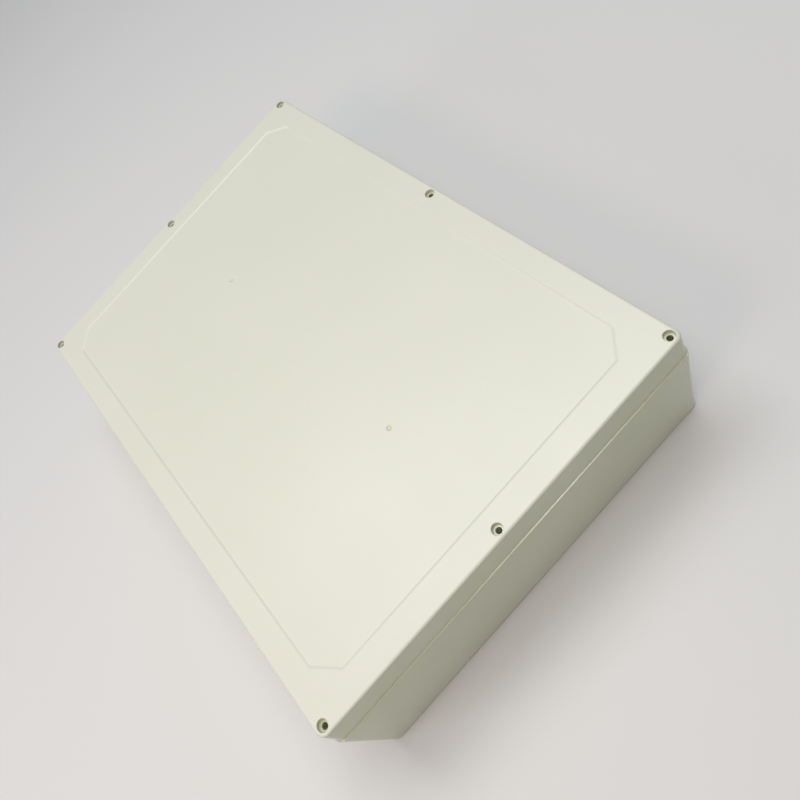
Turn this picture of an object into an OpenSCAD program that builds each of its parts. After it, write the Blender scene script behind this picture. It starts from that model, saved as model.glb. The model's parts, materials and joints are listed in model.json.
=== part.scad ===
// Control box of a shop security gate: a screwed, sealed enclosure with its electronics.
// The box lies on its back, with the lid up. Origin: centre of the back face.

/* [Case] */
// Length over the bead of the lid
case_l = 460; // [440:5:600]
// Width over the bead of the lid
case_w = 340; // [330:5:480]
// Height from the back face to the top of the lid
case_h = 120; // [118:1:180]
// Height of the lid, from the parting line up
lid_h = 27; // [26:0.5:34]
// Wall of the base and of the lid
wall = 3; // [2.5:0.1:3.6]
// Thickness of the floor
floor_t = 3.5; // [3:0.1:5]
// Thickness of the lid's top
top_t = 3; // [2.5:0.1:4]
// Draft of the base's walls, in degrees
base_draft = 1.5; // [1:0.1:2]
// Draft of the lid's walls, in degrees
lid_draft = 1.5; // [1:0.1:2]
// Corner radius of base and lid, seen from above
corner_r = 6; // [5:0.5:8]
// Rounding of the base's bottom edge
foot_r = 3; // [2:0.5:4]
// Rounding of the lid's top edge
lid_edge_r = 2; // [1:0.25:3]
// How far the bead along the lid's lower edge stands out
bead_out = 0.9; // [0.5:0.1:1.5]
// Height of the bead
bead_h = 1.2; // [0.8:0.1:2]

/* [Lid panel] */
// Border between the edge of the lid and the recessed panel
panel_margin = 22.5; // [20:0.5:40]
// Leg of the panel's cut corners
panel_cut = 17; // [8:0.5:30]
// Depth of the panel
panel_depth = 0.8; // [0.4:0.1:1.2]

/* [Lid screws] */
// Distance of the screws from the edges of the lid
screw_inset = 8; // [7.5:0.25:9]
// Thread diameter
screw_d = 3; // [2.5:0.5:4]
// Length under the head
screw_len = 14; // [12:1:18]
// Diameter of the screw's small head
head_d = 5.5; // [5:0.1:5.6]
// Height of the head
head_h = 2.2; // [1.8:0.1:3]
// Diameter of the wide mouth of each screw hole
mouth_d = 8; // [7:0.25:9]
// Depth of the mouth
mouth_depth = 4.5; // [2:0.25:8]
// Plastic left under each screw's washer
ledge_t = 6; // [4:0.5:8]
// Radius of the base's screw columns
column_r = 8; // [7.5:0.25:9]

/* [Seal] */
// Width of the groove in the base's rim
groove_w = 2.4; // [2:0.1:2.6]
// Depth of the groove
groove_depth = 4; // [3:0.25:5]
// Height of the lid's tongue
tongue_h = 2.4; // [1.5:0.1:2.8]

/* [Wall fixing] */
// Distance of the fixing holes from the middle of the side walls, along the box
fix_inset_x = 24; // [22:1:30]
// The same across the box
fix_inset_y = 30; // [26:1:60]
// Diameter of a fixing hole
fix_hole_d = 6; // [4:0.5:8]
// Height of the collar around a fixing hole
fix_collar_h = 8; // [4:0.5:9]

/* [Cable entries] */
// Thread diameter of the two outer glands
small_gland_d = 16; // [12:1:20]
// Thread diameter of the two inner glands
large_gland_d = 20; // [16:1:25]
// Distance between neighbouring glands on one side of the middle
gland_pitch = 60; // [50:1:70]
// Height of the glands above the back face
gland_z = 46; // [40:1:60]

/* [Mounting plate] */
// Gap between the plate and the side walls, along the box
plate_gap_x = 34; // [33:1:40]
// The same across the box
plate_gap_y = 18; // [16:1:22]
// Thickness of the plate
plate_t = 2; // [1.5:0.25:3]
// Height of the bosses under the plate
plate_lift = 10; // [9:0.5:14]

/* [Power side] */
// Width of the hat rail
rail_w = 35; // [35:1:36]
// Length of the hat rail
rail_len = 170; // [165:5:200]
// Outer diameter of the toroidal transformer
toroid_d = 86; // [70:2:90]
// Height of the toroidal transformer
toroid_h = 40; // [30:1:50]
// Length of the enclosed power supply
psu_l = 158; // [140:1:160]
// Width of the enclosed power supply
psu_w = 96; // [80:1:98]
// Height of the enclosed power supply
psu_h = 38; // [32:1:42]

/* [Control board] */
// Length of the board along the box
board_l = 172; // [170:1:180]
// Width of the board across the box
board_w = 260; // [258:1:264]
// Thickness of the board
board_t = 1.6; // [1.2:0.1:2]
// Height of the standoffs
standoff_h = 8; // [6:0.5:12]
// Diameter of a reservoir capacitor
reservoir_d = 30; // [24:1:32]
// Height of a reservoir capacitor
reservoir_h = 42; // [30:1:50]
// Height of the heatsink
sink_h = 40; // [30:1:50]
// Number of tuning capacitors
tuning_count = 8; // [4:1:8]
// Diameter of a tuning knob
knob_d = 13; // [10:0.5:15]

/* [Tamper switch] */
// Travel of the plunger
plunger_travel = 3; // [2:0.25:4]
// Gap between the plunger and the lid
plunger_gap = 0.3; // [0.2:0.05:0.5]

/* [Hidden] */

$fn = 48;
hull_fn = 32;
eps = 0.01;
signs = [-1, 1];
// Clearances: thread in its hole, turning or sliding fit, loose fit between bodies, pieces laid side by side
thread_gap = 0.05;
turn_gap = 0.08;
free_gap = 0.3;
side_gap = 0.1;

// Case
part_z = case_h - lid_h;
base_run = part_z * tan(base_draft);
lid_run = lid_h * tan(lid_draft);
rim_x = case_l / 2 - bead_out;
rim_y = case_w / 2 - bead_out;
cavity_x = rim_x - base_run - wall;
cavity_y = rim_y - base_run - wall;
cavity_r = corner_r - wall + 1;
rim_t = base_run + wall;
lid_inner_x = rim_x - lid_run - wall;
lid_inner_y = rim_y - lid_run - wall;
column_x = case_l / 2 - screw_inset;
column_y = case_w / 2 - screw_inset;
// The corners, the middle of both short sides and the middle of one long side
screw_points = [
    for (sx = signs, sy = signs) [sx * column_x, sy * column_y],
    for (sx = signs) [sx * column_x, 0],
    [0, column_y]
];
// Narrows a pad behind its round end, so that no edge runs tangent into an arc
pad_step = 0.05;
far_out = 3 * corner_r + column_r;
lid_column_r = column_r - 1.4;
clear_d = screw_d + 0.4;
access_d = head_d + 0.3;
insert_r = screw_d / 2 + 0.75;
insert_len = 8;
insert_hole_depth = insert_len + 4;
screw_washer_t = 0.6;
tongue_w = groove_w - 0.8;
groove_inner = (rim_t - groove_w) / 2;
tongue_inner = (rim_t - tongue_w) / 2;

// Wall fixing
fix_x = rim_x - fix_inset_x + 1;
fix_y = rim_y - fix_inset_y + 1;
fix_collar_r = fix_hole_d / 2 + 5;

// Glands: thread, place along Y
gland_d = [small_gland_d, large_gland_d, large_gland_d, small_gland_d];
gland_y = [for (i = [-1.5, -0.5, 0.5, 1.5]) i * gland_pitch + sign(i) * 20];
gland_face_x = -rim_x;
gland_washer_t = 1.5;
gland_flange_t = 5;
gland_shank = rim_t + 7;
gland_locknut_t = 4.5;
gland_front = 8.5;
gland_end_gap = 2.9;
gland_end_t = 2;
gland_lead_in = 0.5;

// Mounting plate
plate_l = 2 * (cavity_x - plate_gap_x);
plate_w = 2 * (cavity_y - plate_gap_y);
plate_z = floor_t + plate_lift;
plate_top = plate_z + plate_t;
plate_screw_inset = 8;
plate_points = [for (ix = [-1, 0, 1], sy = signs)
    [ix * (plate_l / 2 - plate_screw_inset), sy * (plate_w / 2 - plate_screw_inset)]];
m4 = 4;
m4_head_d = 7;
m4_head_h = 2.6;
boss_r = 5;

// Hat rail, breaker and terminals, placed from the plate's corner
rail_x = -plate_l / 2 + 35;
rail_y = -plate_w / 2 + 10 + rail_len / 2;
rail_h = 7.5;
rail_t = 1;
rail_top = plate_top + rail_h;
rail_flange = 5;
rail_screw_inset = 8;
breaker_w = 35.6;
breaker_y = rail_y - rail_len / 2 + 36;
breaker_len = 88;
breaker_low_h = 46;
breaker_nose_l = 45;
breaker_nose_h = 64;
breaker_z = rail_top - 3;
toggle_r = 8;
toggle_w = 27;
toggle_drop = 3;
toggle_z = breaker_z + breaker_nose_h - toggle_drop;
toggle_reach = 18;
toggle_tilt = 38;
toggle_pin_r = 1.5;
toggle_pin_len = 2;
breaker_hole_y = [-breaker_w / 4, breaker_w / 4];
breaker_hole_z = breaker_z + 22;
block_pitch = 6.2;
block_count = 8;
block_l = 42;
block_h = 40;
block_z = rail_top - 3;
block_y0 = breaker_y + breaker_w / 2 + 14;
block_hole_z = block_z + 15;
stop_w = 8;
stop_h = 32;

// Toroidal transformer
toroid_x = -plate_l / 2 + toroid_d / 2 + 18;
toroid_y = plate_w / 2 - toroid_d / 2 - 10;
toroid_pad_t = 2;
toroid_hole_r = toroid_d / 6;
toroid_z = plate_top + toroid_pad_t;
toroid_top = toroid_z + toroid_h;

// Enclosed power supply
psu_x = -psu_w / 2 - 3;
psu_y = -plate_w / 2 + 10 + psu_l / 2;
psu_sheet = 1.2;
psu_end_open = 16;
psu_board_lift = 5;
psu_strip_h = 14;
psu_ways = 7;
psu_way_pitch = 10;
psu_strip_z = plate_top + psu_sheet + psu_board_lift + board_t;

// Control board: u runs along X and v along Y from its corner
board_x0 = plate_l / 2 - board_l - 6;
board_y0 = -board_w / 2;
board_z = plate_top + standoff_h;
board_top = board_z + board_t;
m3 = 3;
m3_head_d = 5.6;
m3_head_h = 2;
standoff_r = 3.2;
hole_inset = 6;
board_holes = [for (u = [hole_inset, board_l - hole_inset], v = [hole_inset, board_w / 2,
    board_w - hole_inset]) [u, v]];
reservoir_points = [for (i = [0, 1], j = [0, 1]) [29 + i * (reservoir_d + 4),
    29 + j * (reservoir_d + 4)]];
sink_u = 16;
sink_v = 145;
sink_len = 92;
sink_depth = 24;
sink_back = 4;
sink_fins = 7;
sink_fin_t = 1.6;
transistor_count = 4;
transistor_pitch = 23;
transistor_w = 16;
transistor_h = 21;
transistor_t = 5;
transistor_z = board_top + 9;
inductor_points = [[78, 168], [78, 216]];
inductor_r = 21;
inductor_hole_r = 7;
inductor_h = 18;
inductor_edge = 4;
tuning_u = 125;
tuning_v0 = 150;
tuning_pitch = 11;
tuning_size = [26, 9, 19];
relay_points = [[104, 22], [104, 42], [138, 22], [138, 42]];
relay_size = [29, 13, 16];
shield_at = [128, 83];
shield_size = [56, 48, 9];
shield_t = 0.5;
chips = [[78, 106, 22, 22, 1.8], [78, 133, 10, 8, 2], [98, 124, 10, 7, 2], [114, 124, 10, 7, 2],
    [130, 124, 10, 7, 2], [146, 124, 10, 7, 2], [78, 88, 11, 5, 3.6]];
sounder_at = [50, 122];
sounder_r = 11.5;
sounder_h = 10;
fuse_points = [[18, 100], [32, 100]];
fuse_len = 20;
fuse_r = 2.5;
fuse_lift = 6;
fuse_cap = 5;
terminal_pitch = 5;
terminal_ways = 4;
terminal_depth = 11;
terminal_h = 14;
terminal_inset = 7;
terminal_points = concat([for (v = [30, 54, 78, 102, 156, 180]) [board_l - terminal_inset, v, 0]],
    [[terminal_inset, 172, 180]]);
terminal_hole_z = 5;
light_count = 6;
light_u0 = 98;
light_pitch = 7.5;
light_v = board_w - 8;
light_r = 2.5;
light_h = 7;
knob_points = [[34, board_w - 11], [56, board_w - 11], [78, board_w - 11]];
knob_base_size = [12, 13, 7];
knob_bush_r = 4.5;
knob_bush_h = 4;
knob_h = 10;
knob_lift = 0.5;
knob_shaft_r = 3;
knob_grips = 16;
mode_at = [147, board_w - 20];
mode_size = [14, 7, 6];
mode_travel = 4;
mode_floor = 2;
mode_lever = [2.5, 3, 5];
reset_at = [147, board_w - 36];
reset_size = 12;
reset_h = 5;
reset_r = 3.5;
reset_cap_h = 7;
reset_travel = 1.5;

// Earth bar and tamper switch, in the free strip beside the board
earth_x = -58;
earth_y = toroid_y + 5;
earth_len = 62;
earth_w = 9;
earth_h = 9;
earth_foot_h = 12;
earth_ways = 5;
earth_foot_gap = earth_len - 10;
function earth_way(i) = (i - (earth_ways - 1) / 2) * 8;
tamper_x = -30;
tamper_y = plate_w / 2 - 14;
tamper_foot = [30, 22];
tamper_hole_gap = 18;
tamper_sheet = 1.5;
tamper_body = [22, 12, 18];
tamper_stem_r = 2.5;
tamper_stem = 14;
lid_under = case_h - top_t;
tamper_tip_z = lid_under - plunger_gap;
tamper_body_z = tamper_tip_z - tamper_stem - tamper_body[2] + 4;

// Leads: tube radius and sides, bend at a turn, rings to a bend, length inside a terminal
lead_r = 1.4;
signal_r = 1.1;
lead_sides = 8;
lead_bend = 9;
bend_steps = 3;
lead_in = 4;
lead_out = 7;
lead_start_gap = 0.6;

// Where leads run: between rail and supply, in front of the supply, beside the transformer, round the board
lane_x = rail_x + breaker_len / 2 + 5;
lane_gap = 4;
psu_end = psu_y + (psu_l - psu_end_open) / 2 - 1 + (psu_end_open - 2) / 2;
psu_front_y = psu_end + 11;
psu_hole_z = psu_strip_z + psu_strip_h / 3;
toroid_lane_x = lane_x - 12;
toroid_lead_z = toroid_z + toroid_h / 3;
over_z = plate_top + 22;
under_z = plate_top + 6;
board_in_x = board_x0 + terminal_inset - terminal_depth / 2;
board_out_x = board_x0 + board_l - terminal_inset + terminal_depth / 2;
board_hole_z = board_top + terminal_hole_z;
earth_z = plate_top + earth_foot_h;
signal_lane_x = board_x0 + board_l + 7;
signal_lane_y = -plate_w / 2 + 6;
signal_lane_z = plate_top + 7;
signal_gap = 3.2;
signal_turn_x = rail_x - breaker_len / 2 - 4.5;
saddle_x = [-90, 20, 130];
saddle_size = [8, 8, 10];

function breaker_end(i) = [rail_x + breaker_len / 2 - lead_in, breaker_y + breaker_hole_y[i],
    breaker_hole_z];
function block_end(i, side) =
    [rail_x + side * (block_l / 2 - lead_in), block_y0 + i * block_pitch, block_hole_z];
function psu_end_at(i) = [psu_x + (i - (psu_ways - 1) / 2) * psu_way_pitch, psu_end - lead_in,
    psu_hole_z];
function way_y(i) = (i - (terminal_ways - 1) / 2) * terminal_pitch;
function board_in(i) = [board_in_x + lead_in, board_y0 + terminal_points[6][1] + way_y(i), board_hole_z];
function board_out(j, i) = [board_out_x - lead_in, board_y0 + terminal_points[j][1] + way_y(i),
    board_hole_z];
function toroid_side(angle, out) = [toroid_x + (toroid_d / 2 + out) * cos(angle),
    toroid_y + (toroid_d / 2 + out) * sin(angle), toroid_lead_z];

// Breaker to supply, transformer to rail terminals, then the two earths
breaker_routes = [for (k = [0, 1])
    let (a = breaker_end(k), z = psu_end_at(k), x = lane_x + lane_gap / 2 - lane_gap * k,
        y = psu_front_y + 5 * k)
        [a, [x, a[1], a[2]], [x, y, z[2] + 1], [z[0], y, z[2]], z + [0, lead_out, 0], z]];
primary_routes = [for (k = [0, 1])
    let (angle = -68 - 12 * k, z = block_end(5 + k, 1), x = toroid_lane_x - 5 * k)
        [toroid_side(angle, lead_start_gap), toroid_side(angle, 8), [x, psu_end, z[2]], [x, z[1], z[2]],
            z]];
supply_earth = let (a = psu_end_at(2), z = [earth_x + 2.5, earth_y + earth_way(0), earth_z],
    x = earth_x + 12)
    [a, a + [0, lead_out, 0], [a[0], z[1] - 40, z[2]], [x, z[1] - 20, z[2]], [x, z[1], z[2]], z];
rail_earth = let (a = block_end(7, 1), z = [earth_x - 2.5, earth_y + earth_way(1), earth_z])
    [a, a + [8, 0, 0], [a[0] + 9, a[1] + 14, under_z], [lane_x - 6, psu_end - 12, under_z],
        [lane_x + 10, psu_end + 20, under_z], [earth_x - 22, z[1] - 18, under_z + 2], z - [12, 0, 0], z];
mains_routes = concat(breaker_routes, primary_routes, [supply_earth], [rail_earth]);

// Supply to board and transformer to board
direct_routes = [for (k = [0, 1]) let (a = psu_end_at(5 + k), z = board_in(1 - k))
    [a, a + [0, lead_out, 0], [a[0], z[1], z[2]], z]];
secondary_routes = [for (k = [0, 1]) let (angle = -36 + 12 * k, z = board_in(2 + k),
    x = earth_x - 14 + 4 * k)
    [toroid_side(angle, lead_start_gap), toroid_side(angle, 8), [x, z[1] + 6, over_z],
        [board_x0 - 17, z[1], over_z], z - [11, 0, 0], z]];
supply_routes = concat(direct_routes, secondary_routes);

// Board outputs to the rail terminals, under saddles along the plate's edge
signal_routes = [for (k = [0, 1])
    let (a = board_out(k, 1), z = block_end(1 + k, -1), x = signal_lane_x + 5 * k, low = signal_lane_z,
        y = signal_lane_y + signal_gap / 2 - signal_gap * k, turn = signal_turn_x - 5 * k)
        [a, [x, a[1], a[2]], [x, y, low], [turn, y, low], [turn, z[1], z[2]], z]];

psu_hole_inset = [16, 26];
psu_holes = [for (sx = signs, sy = signs)
    [psu_x + sx * (psu_w / 2 - psu_hole_inset[0]), psu_y + sy * (psu_l / 2 - psu_hole_inset[1])]];
transistor_u = sink_u + sink_depth;

function transistor_v(i) = sink_len / 2 + (i - (transistor_count - 1) / 2) * transistor_pitch;

ivory = "#e3e1d4";
steel = "#b9bcc0";
brass = "#c9a44c";
black = "#222426";

function on_board(p) = [board_x0 + p[0], board_y0 + p[1], board_top];

// ---- Shared shapes ----

// Rectangle with round corners
module round_rect(length, width, r) {
    square([length - 2 * r, width], center = true);
    square([length, width - 2 * r], center = true);
    for (sx = signs, sy = signs) translate([sx * (length / 2 - r), sy * (width / 2 - r)]) circle(r);
}

// Footprints of the screw columns, run out to the walls
module column_pads(r) {
    for (sx = signs, sy = signs) mirror([sx < 0 ? 1 : 0, 0]) mirror([0, sy < 0 ? 1 : 0]) {
        translate([column_x, column_y]) circle(r);
        translate([column_x - r + pad_step, column_y]) square(far_out);
        translate([column_x, column_y - r + pad_step]) square(far_out);
    }
    for (sx = signs) mirror([sx < 0 ? 1 : 0, 0]) {
        translate([column_x, 0]) circle(r);
        translate([column_x, pad_step - r]) square([far_out, 2 * (r - pad_step)]);
    }
    translate([0, column_y]) circle(r);
    translate([pad_step - r, column_y]) square([2 * (r - pad_step), far_out]);
}

// The cavity's outline, moved outwards by out
module cavity_outline(out) {
    difference() {
        round_rect(2 * (cavity_x + out), 2 * (cavity_y + out), cavity_r + out);
        column_pads(column_r - out);
    }
}

// Closed line around the rim, from inner to inner + width outside the cavity
module rim_line(inner, width) {
    difference() {
        cavity_outline(inner + width);
        cavity_outline(inner);
    }
}

// Convex shell through round rectangles, each level [z, inset, radius]
module stacked(levels, half_x, half_y) {
    hull() for (lv = levels, sx = signs, sy = signs)
        translate([sx * (half_x - lv[1] - lv[2]), sy * (half_y - lv[1] - lv[2]), lv[0]])
            cylinder(r = lv[2], h = eps, $fn = hull_fn);
}

// Pan head screw: seat of the head at z = 0, shank downwards, cross slot
module pan_screw(d, len, head, height) {
    slot = head * 0.13;
    difference() {
        rotate_extrude() polygon([[0, -len], [d / 2 - 0.3, -len], [d / 2, -len + 0.3], [d / 2, 0],
            [head / 2, 0], [head / 2, height * 0.55], [head / 2 - height * 0.45, height], [0, height]]);
        for (a = [0, 90]) rotate(a) translate([-head * 0.3, -slot / 2, height * 0.45])
            cube([head * 0.6, slot, height]);
    }
}

module hex(across, h) {
    cylinder(r = across / 2 / cos(30), h = h, $fn = 6);
}

module ring(r_out, r_in, h) {
    difference() {
        cylinder(r = r_out, h = h);
        translate([0, 0, -eps]) cylinder(r = r_in, h = h + 2 * eps);
    }
}

module block(size) {
    translate([-size[0] / 2, -size[1] / 2, 0]) cube(size);
}

function unit(v) = v / norm(v);

// Turns of a route rounded off
function rounded(p) = [p[0], for (i = [1:len(p) - 2])
    let (a = p[i - 1] - p[i], c = p[i + 1] - p[i], d = min(lead_bend, norm(a) / 2.05, norm(c) / 2.05),
        start = p[i] + d * unit(a), end = p[i] + d * unit(c))
        for (k = [0:bend_steps]) let (t = k / bend_steps)
            (1 - t) * (1 - t) * start + 2 * t * (1 - t) * p[i] + t * t * end,
    p[len(p) - 1]];

// Round lead swept along a route
module lead(route, r) {
    path = rounded(route);
    last = len(path) - 1;
    guide = [0.2, 0.3, 1];
    n = lead_sides;
    points = [for (i = [0:last], k = [0:n - 1])
        let (t = unit(path[min(i + 1, last)] - path[max(i - 1, 0)]), side = unit(cross(t, guide)),
            up = cross(t, side))
            path[i] + r * (cos(k * 360 / n) * side + sin(k * 360 / n) * up)];
    walls = [for (i = [0:last - 1], k = [0:n - 1], h = [0, 1]) let (m = (k + 1) % n, a = i * n, b = a + n)
        h == 0 ? [a + k, b + k, b + m] : [a + k, b + m, a + m]];
    polyhedron(concat(points), concat([[for (k = [0:n - 1]) k]], walls,
        [[for (k = [n - 1:-1:0]) last * n + k]]));
}

// ---- Case ----

module base_outer() {
    steps = [for (a = [0:22.5:90]) [foot_r * (1 - sin(a)), base_run + foot_r * (1 - cos(a)),
        corner_r - foot_r * (1 - cos(a)) / 2]];
    stacked(concat([[part_z - eps, 0, corner_r]], steps), rim_x, rim_y);
}

module gland_pad() {
    pad_y = gland_y[3] + gland_d[3];
    pad_z = large_gland_d;
    translate([gland_face_x, -pad_y, gland_z - pad_z]) cube([rim_t, 2 * pad_y, 2 * pad_z]);
}

module base_shell() {
    rib_t = 2;
    color(ivory) difference() {
        union() {
            difference() {
                base_outer();
                translate([0, 0, floor_t]) linear_extrude(case_h) cavity_outline(0);
            }
            gland_pad();
            for (p = plate_points) translate([p[0], p[1], floor_t - 1])
                cylinder(r = boss_r, h = plate_lift + 1);
            for (sx = signs, sy = signs) translate([sx * fix_x, sy * fix_y, floor_t - 1])
                cylinder(r = fix_collar_r, h = fix_collar_h + 1);
            for (sy = signs) translate([-plate_l / 2 + boss_r, sy * plate_w / 5 - rib_t / 2, floor_t - 1])
                cube([plate_l - 2 * boss_r, rib_t, plate_lift / 2]);
        }
        translate([0, 0, part_z - groove_depth])
            linear_extrude(groove_depth + 1) rim_line(groove_inner, groove_w);
        for (p = screw_points) translate([p[0], p[1], part_z - insert_hole_depth])
            cylinder(r = insert_r + thread_gap, h = insert_hole_depth + 1);
        for (sx = signs, sy = signs) translate([sx * fix_x, sy * fix_y, -1])
            cylinder(d = fix_hole_d, h = case_h / 2);
        for (p = plate_points) translate([p[0], p[1], floor_t])
            cylinder(r = m4 / 2 + thread_gap, h = plate_lift + 1);
        for (i = [0:3]) translate([gland_face_x - 1, gland_y[i], gland_z]) rotate([0, 90, 0])
            cylinder(r = gland_d[i] / 2 + turn_gap, h = rim_t + 3);
    }
}

module lid_outer() {
    steps = [for (a = [0:22.5:90]) [case_h - eps - lid_edge_r * (1 - sin(a)),
        lid_run + lid_edge_r * (1 - cos(a)), corner_r - lid_edge_r * (1 - cos(a)) / 2]];
    stacked(concat([[part_z, 0, corner_r]], steps), rim_x, rim_y);
    stacked([[part_z, 0, corner_r + bead_out], [part_z + bead_h - eps, 0, corner_r + bead_out],
        [part_z + bead_h + bead_out, bead_out, corner_r]], case_l / 2, case_w / 2);
}

module panel_outline() {
    x = case_l / 2 - panel_margin;
    y = case_w / 2 - panel_margin;
    polygon([[x - panel_cut, y], [x, y - panel_cut], [x, panel_cut - y], [x - panel_cut, -y],
        [panel_cut - x, -y], [-x, panel_cut - y], [-x, y - panel_cut], [panel_cut - x, y]]);
}

module lid() {
    color(ivory) difference() {
        union() {
            difference() {
                lid_outer();
                translate([0, 0, part_z - 1]) linear_extrude(lid_h - top_t + 1) difference() {
                    round_rect(2 * lid_inner_x, 2 * lid_inner_y, cavity_r);
                    column_pads(lid_column_r);
                }
            }
            translate([0, 0, part_z - tongue_h])
                linear_extrude(tongue_h + 1) rim_line(tongue_inner, tongue_w);
        }
        translate([0, 0, case_h - panel_depth]) linear_extrude(2) panel_outline();
        for (p = screw_points) translate([p[0], p[1], part_z]) {
            translate([0, 0, -1]) cylinder(d = clear_d, h = lid_h);
            translate([0, 0, ledge_t]) cylinder(d = access_d, h = lid_h);
            translate([0, 0, lid_h - mouth_depth]) cylinder(d = mouth_d, h = lid_h);
        }
    }
}

module lid_gasket() {
    fit = side_gap;
    color("#3a3a3a") translate([0, 0, part_z - groove_depth])
        linear_extrude(groove_depth - tongue_h - side_gap) rim_line(groove_inner + fit,
            groove_w - 2 * fit);
}

module lid_screws() {
    color(steel) for (p = screw_points) translate([p[0], p[1], part_z + ledge_t + screw_washer_t])
        pan_screw(screw_d, screw_len, head_d, head_h);
}

module screw_washers() {
    color(black) for (p = screw_points) translate([p[0], p[1], part_z + ledge_t])
        ring(head_d / 2, screw_d / 2 + side_gap, screw_washer_t);
}

module screw_inserts() {
    color(brass) for (p = screw_points) translate([p[0], p[1], part_z - insert_len - side_gap])
        ring(insert_r, screw_d / 2 + thread_gap, insert_len);
}

// ---- Cable entries: each gland is drawn along +Z, away from the wall ----

module at_gland(i) {
    translate([gland_face_x, gland_y[i], gland_z]) rotate([0, -90, 0]) children();
}

function gland_body_r(d) = 0.42 * d;
function gland_bore_r(d) = 0.32 * d;
function gland_cup_r(d) = 0.365 * d;
function gland_seal_r(d) = 0.26 * d;
gland_body_z = gland_washer_t + gland_flange_t;
gland_mouth_z = gland_body_z + gland_front;
gland_nut_end = gland_mouth_z + gland_end_gap + gland_end_t;

module gland_bodies() {
    color("#d8d8d2") for (i = [0:3]) at_gland(i) difference() {
        d = gland_d[i];
        union() {
            translate([0, 0, gland_washer_t]) hex(d + 4, gland_flange_t);
            translate([0, 0, -gland_shank]) cylinder(d = d, h = gland_shank + gland_washer_t + 1);
            translate([0, 0, gland_body_z - 1]) cylinder(r = gland_body_r(d), h = gland_front + 1);
        }
        translate([0, 0, -gland_shank - 1])
            cylinder(r = gland_bore_r(d), h = gland_shank + gland_mouth_z + 2);
        translate([0, 0, gland_body_z + 2]) cylinder(r = gland_cup_r(d), h = gland_front);
    }
}

module gland_washers() {
    color(black) for (i = [0:3]) at_gland(i)
        ring(gland_d[i] / 2 + 1.9, gland_d[i] / 2 + side_gap, gland_washer_t);
}

module gland_locknuts() {
    color("#d8d8d2") for (i = [0:3]) at_gland(i) translate([0, 0, -rim_t - gland_locknut_t])
        difference() {
        hex(gland_d[i] + 6, gland_locknut_t);
        translate([0, 0, -1]) cylinder(r = gland_d[i] / 2 + thread_gap, h = gland_locknut_t + 2);
    }
}

module gland_seals() {
    color(black) for (i = [0:3]) at_gland(i) translate([0, 0, gland_body_z + 2])
        ring(gland_cup_r(gland_d[i]) - side_gap, gland_seal_r(gland_d[i]),
            gland_front - 2 + gland_end_gap - side_gap);
}

module gland_nut(i) {
    d = gland_d[i];
    start = gland_body_z + gland_lead_in;
    color("#d8d8d2") at_gland(i) difference() {
        union() {
            translate([0, 0, start]) hex(1.16 * d, gland_nut_end - start - gland_end_t);
            translate([0, 0, start]) rotate_extrude()
                polygon([[0, 0], [0.56 * d, 0], [0.56 * d, gland_nut_end - start - gland_end_t],
                [0.46 * d, gland_nut_end - start], [0, gland_nut_end - start]]);
        }
        translate([0, 0, start - 1])
            cylinder(r = gland_body_r(d) + turn_gap, h = gland_nut_end - gland_end_t - start + 1);
        cylinder(r = gland_bore_r(d), h = gland_nut_end + 1);
    }
}

// ---- Carrier and power side ----

module mounting_plate() {
    color("#c9cccd") difference() {
        translate([0, 0, plate_z]) linear_extrude(plate_t) round_rect(plate_l, plate_w, 4);
        for (p = plate_points) translate([p[0], p[1], 0]) cylinder(d = m4 + 0.5, h = case_h);
        for (p = board_holes) translate([board_x0 + p[0], board_y0 + p[1], 0])
            cylinder(r = m3 / 2 + thread_gap, h = case_h);
        for (s = signs) translate([rail_x, rail_y + s * (rail_len / 2 - rail_screw_inset), 0])
            cylinder(r = m4 / 2 + thread_gap, h = case_h);
        translate([toroid_x, toroid_y, 0]) cylinder(r = m4 + thread_gap, h = case_h);
        for (s = signs) translate([earth_x, earth_y + s * earth_foot_gap / 2, 0])
            cylinder(r = m4 / 2 + thread_gap, h = case_h);
        for (s = signs) translate([tamper_x + s * tamper_hole_gap / 2, tamper_y, 0])
            cylinder(r = m3 / 2 + thread_gap, h = case_h);
        for (p = psu_holes) translate([p[0], p[1], 0]) cylinder(r = m3 / 2 + thread_gap, h = case_h);
    }
}

// Every M4 screw: through the plate into its bosses, and through the rail and the earth bar into the plate
module m4_screws() {
    color(steel) {
        for (p = plate_points) translate([p[0], p[1], plate_top])
            pan_screw(m4, plate_t + plate_lift - 1, m4_head_d, m4_head_h);
        for (s = signs) {
            translate([rail_x, rail_y + s * (rail_len / 2 - rail_screw_inset), plate_top + rail_t])
                pan_screw(m4, rail_t + plate_t + 3, m4_head_d, m4_head_h);
            translate([earth_x, earth_y + s * earth_foot_gap / 2, plate_top + earth_foot_h + earth_h / 2])
                pan_screw(m4, earth_foot_h + earth_h / 2 + plate_t + 3, m4_head_d, m4_head_h);
        }
    }
}

// Every M3 screw: control board, power supply, transistor clamps and tamper bracket
module m3_screws() {
    supply_z = plate_top + psu_sheet + psu_board_lift + board_t;
    clamp_z = transistor_z + transistor_h - 4;
    color(steel) {
        for (p = board_holes) translate(on_board(p))
            pan_screw(m3, board_t + standoff_h + plate_t + 1, m3_head_d, m3_head_h);
        for (p = psu_holes) translate([p[0], p[1], supply_z])
            pan_screw(m3, supply_z - plate_z + 1, m3_head_d, m3_head_h);
        for (i = [0:transistor_count - 1])
            translate([board_x0 + transistor_u + transistor_t, board_y0 + sink_v + transistor_v(i),
                clamp_z])
                rotate([0, 90, 0]) pan_screw(m3, transistor_t + sink_back, m3_head_d, m3_head_h);
        for (s = signs) translate([tamper_x + s * tamper_hole_gap / 2, tamper_y,
            plate_top + tamper_sheet])
            pan_screw(m3, tamper_sheet + plate_t + 3, m3_head_d, m3_head_h);
    }
}

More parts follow.
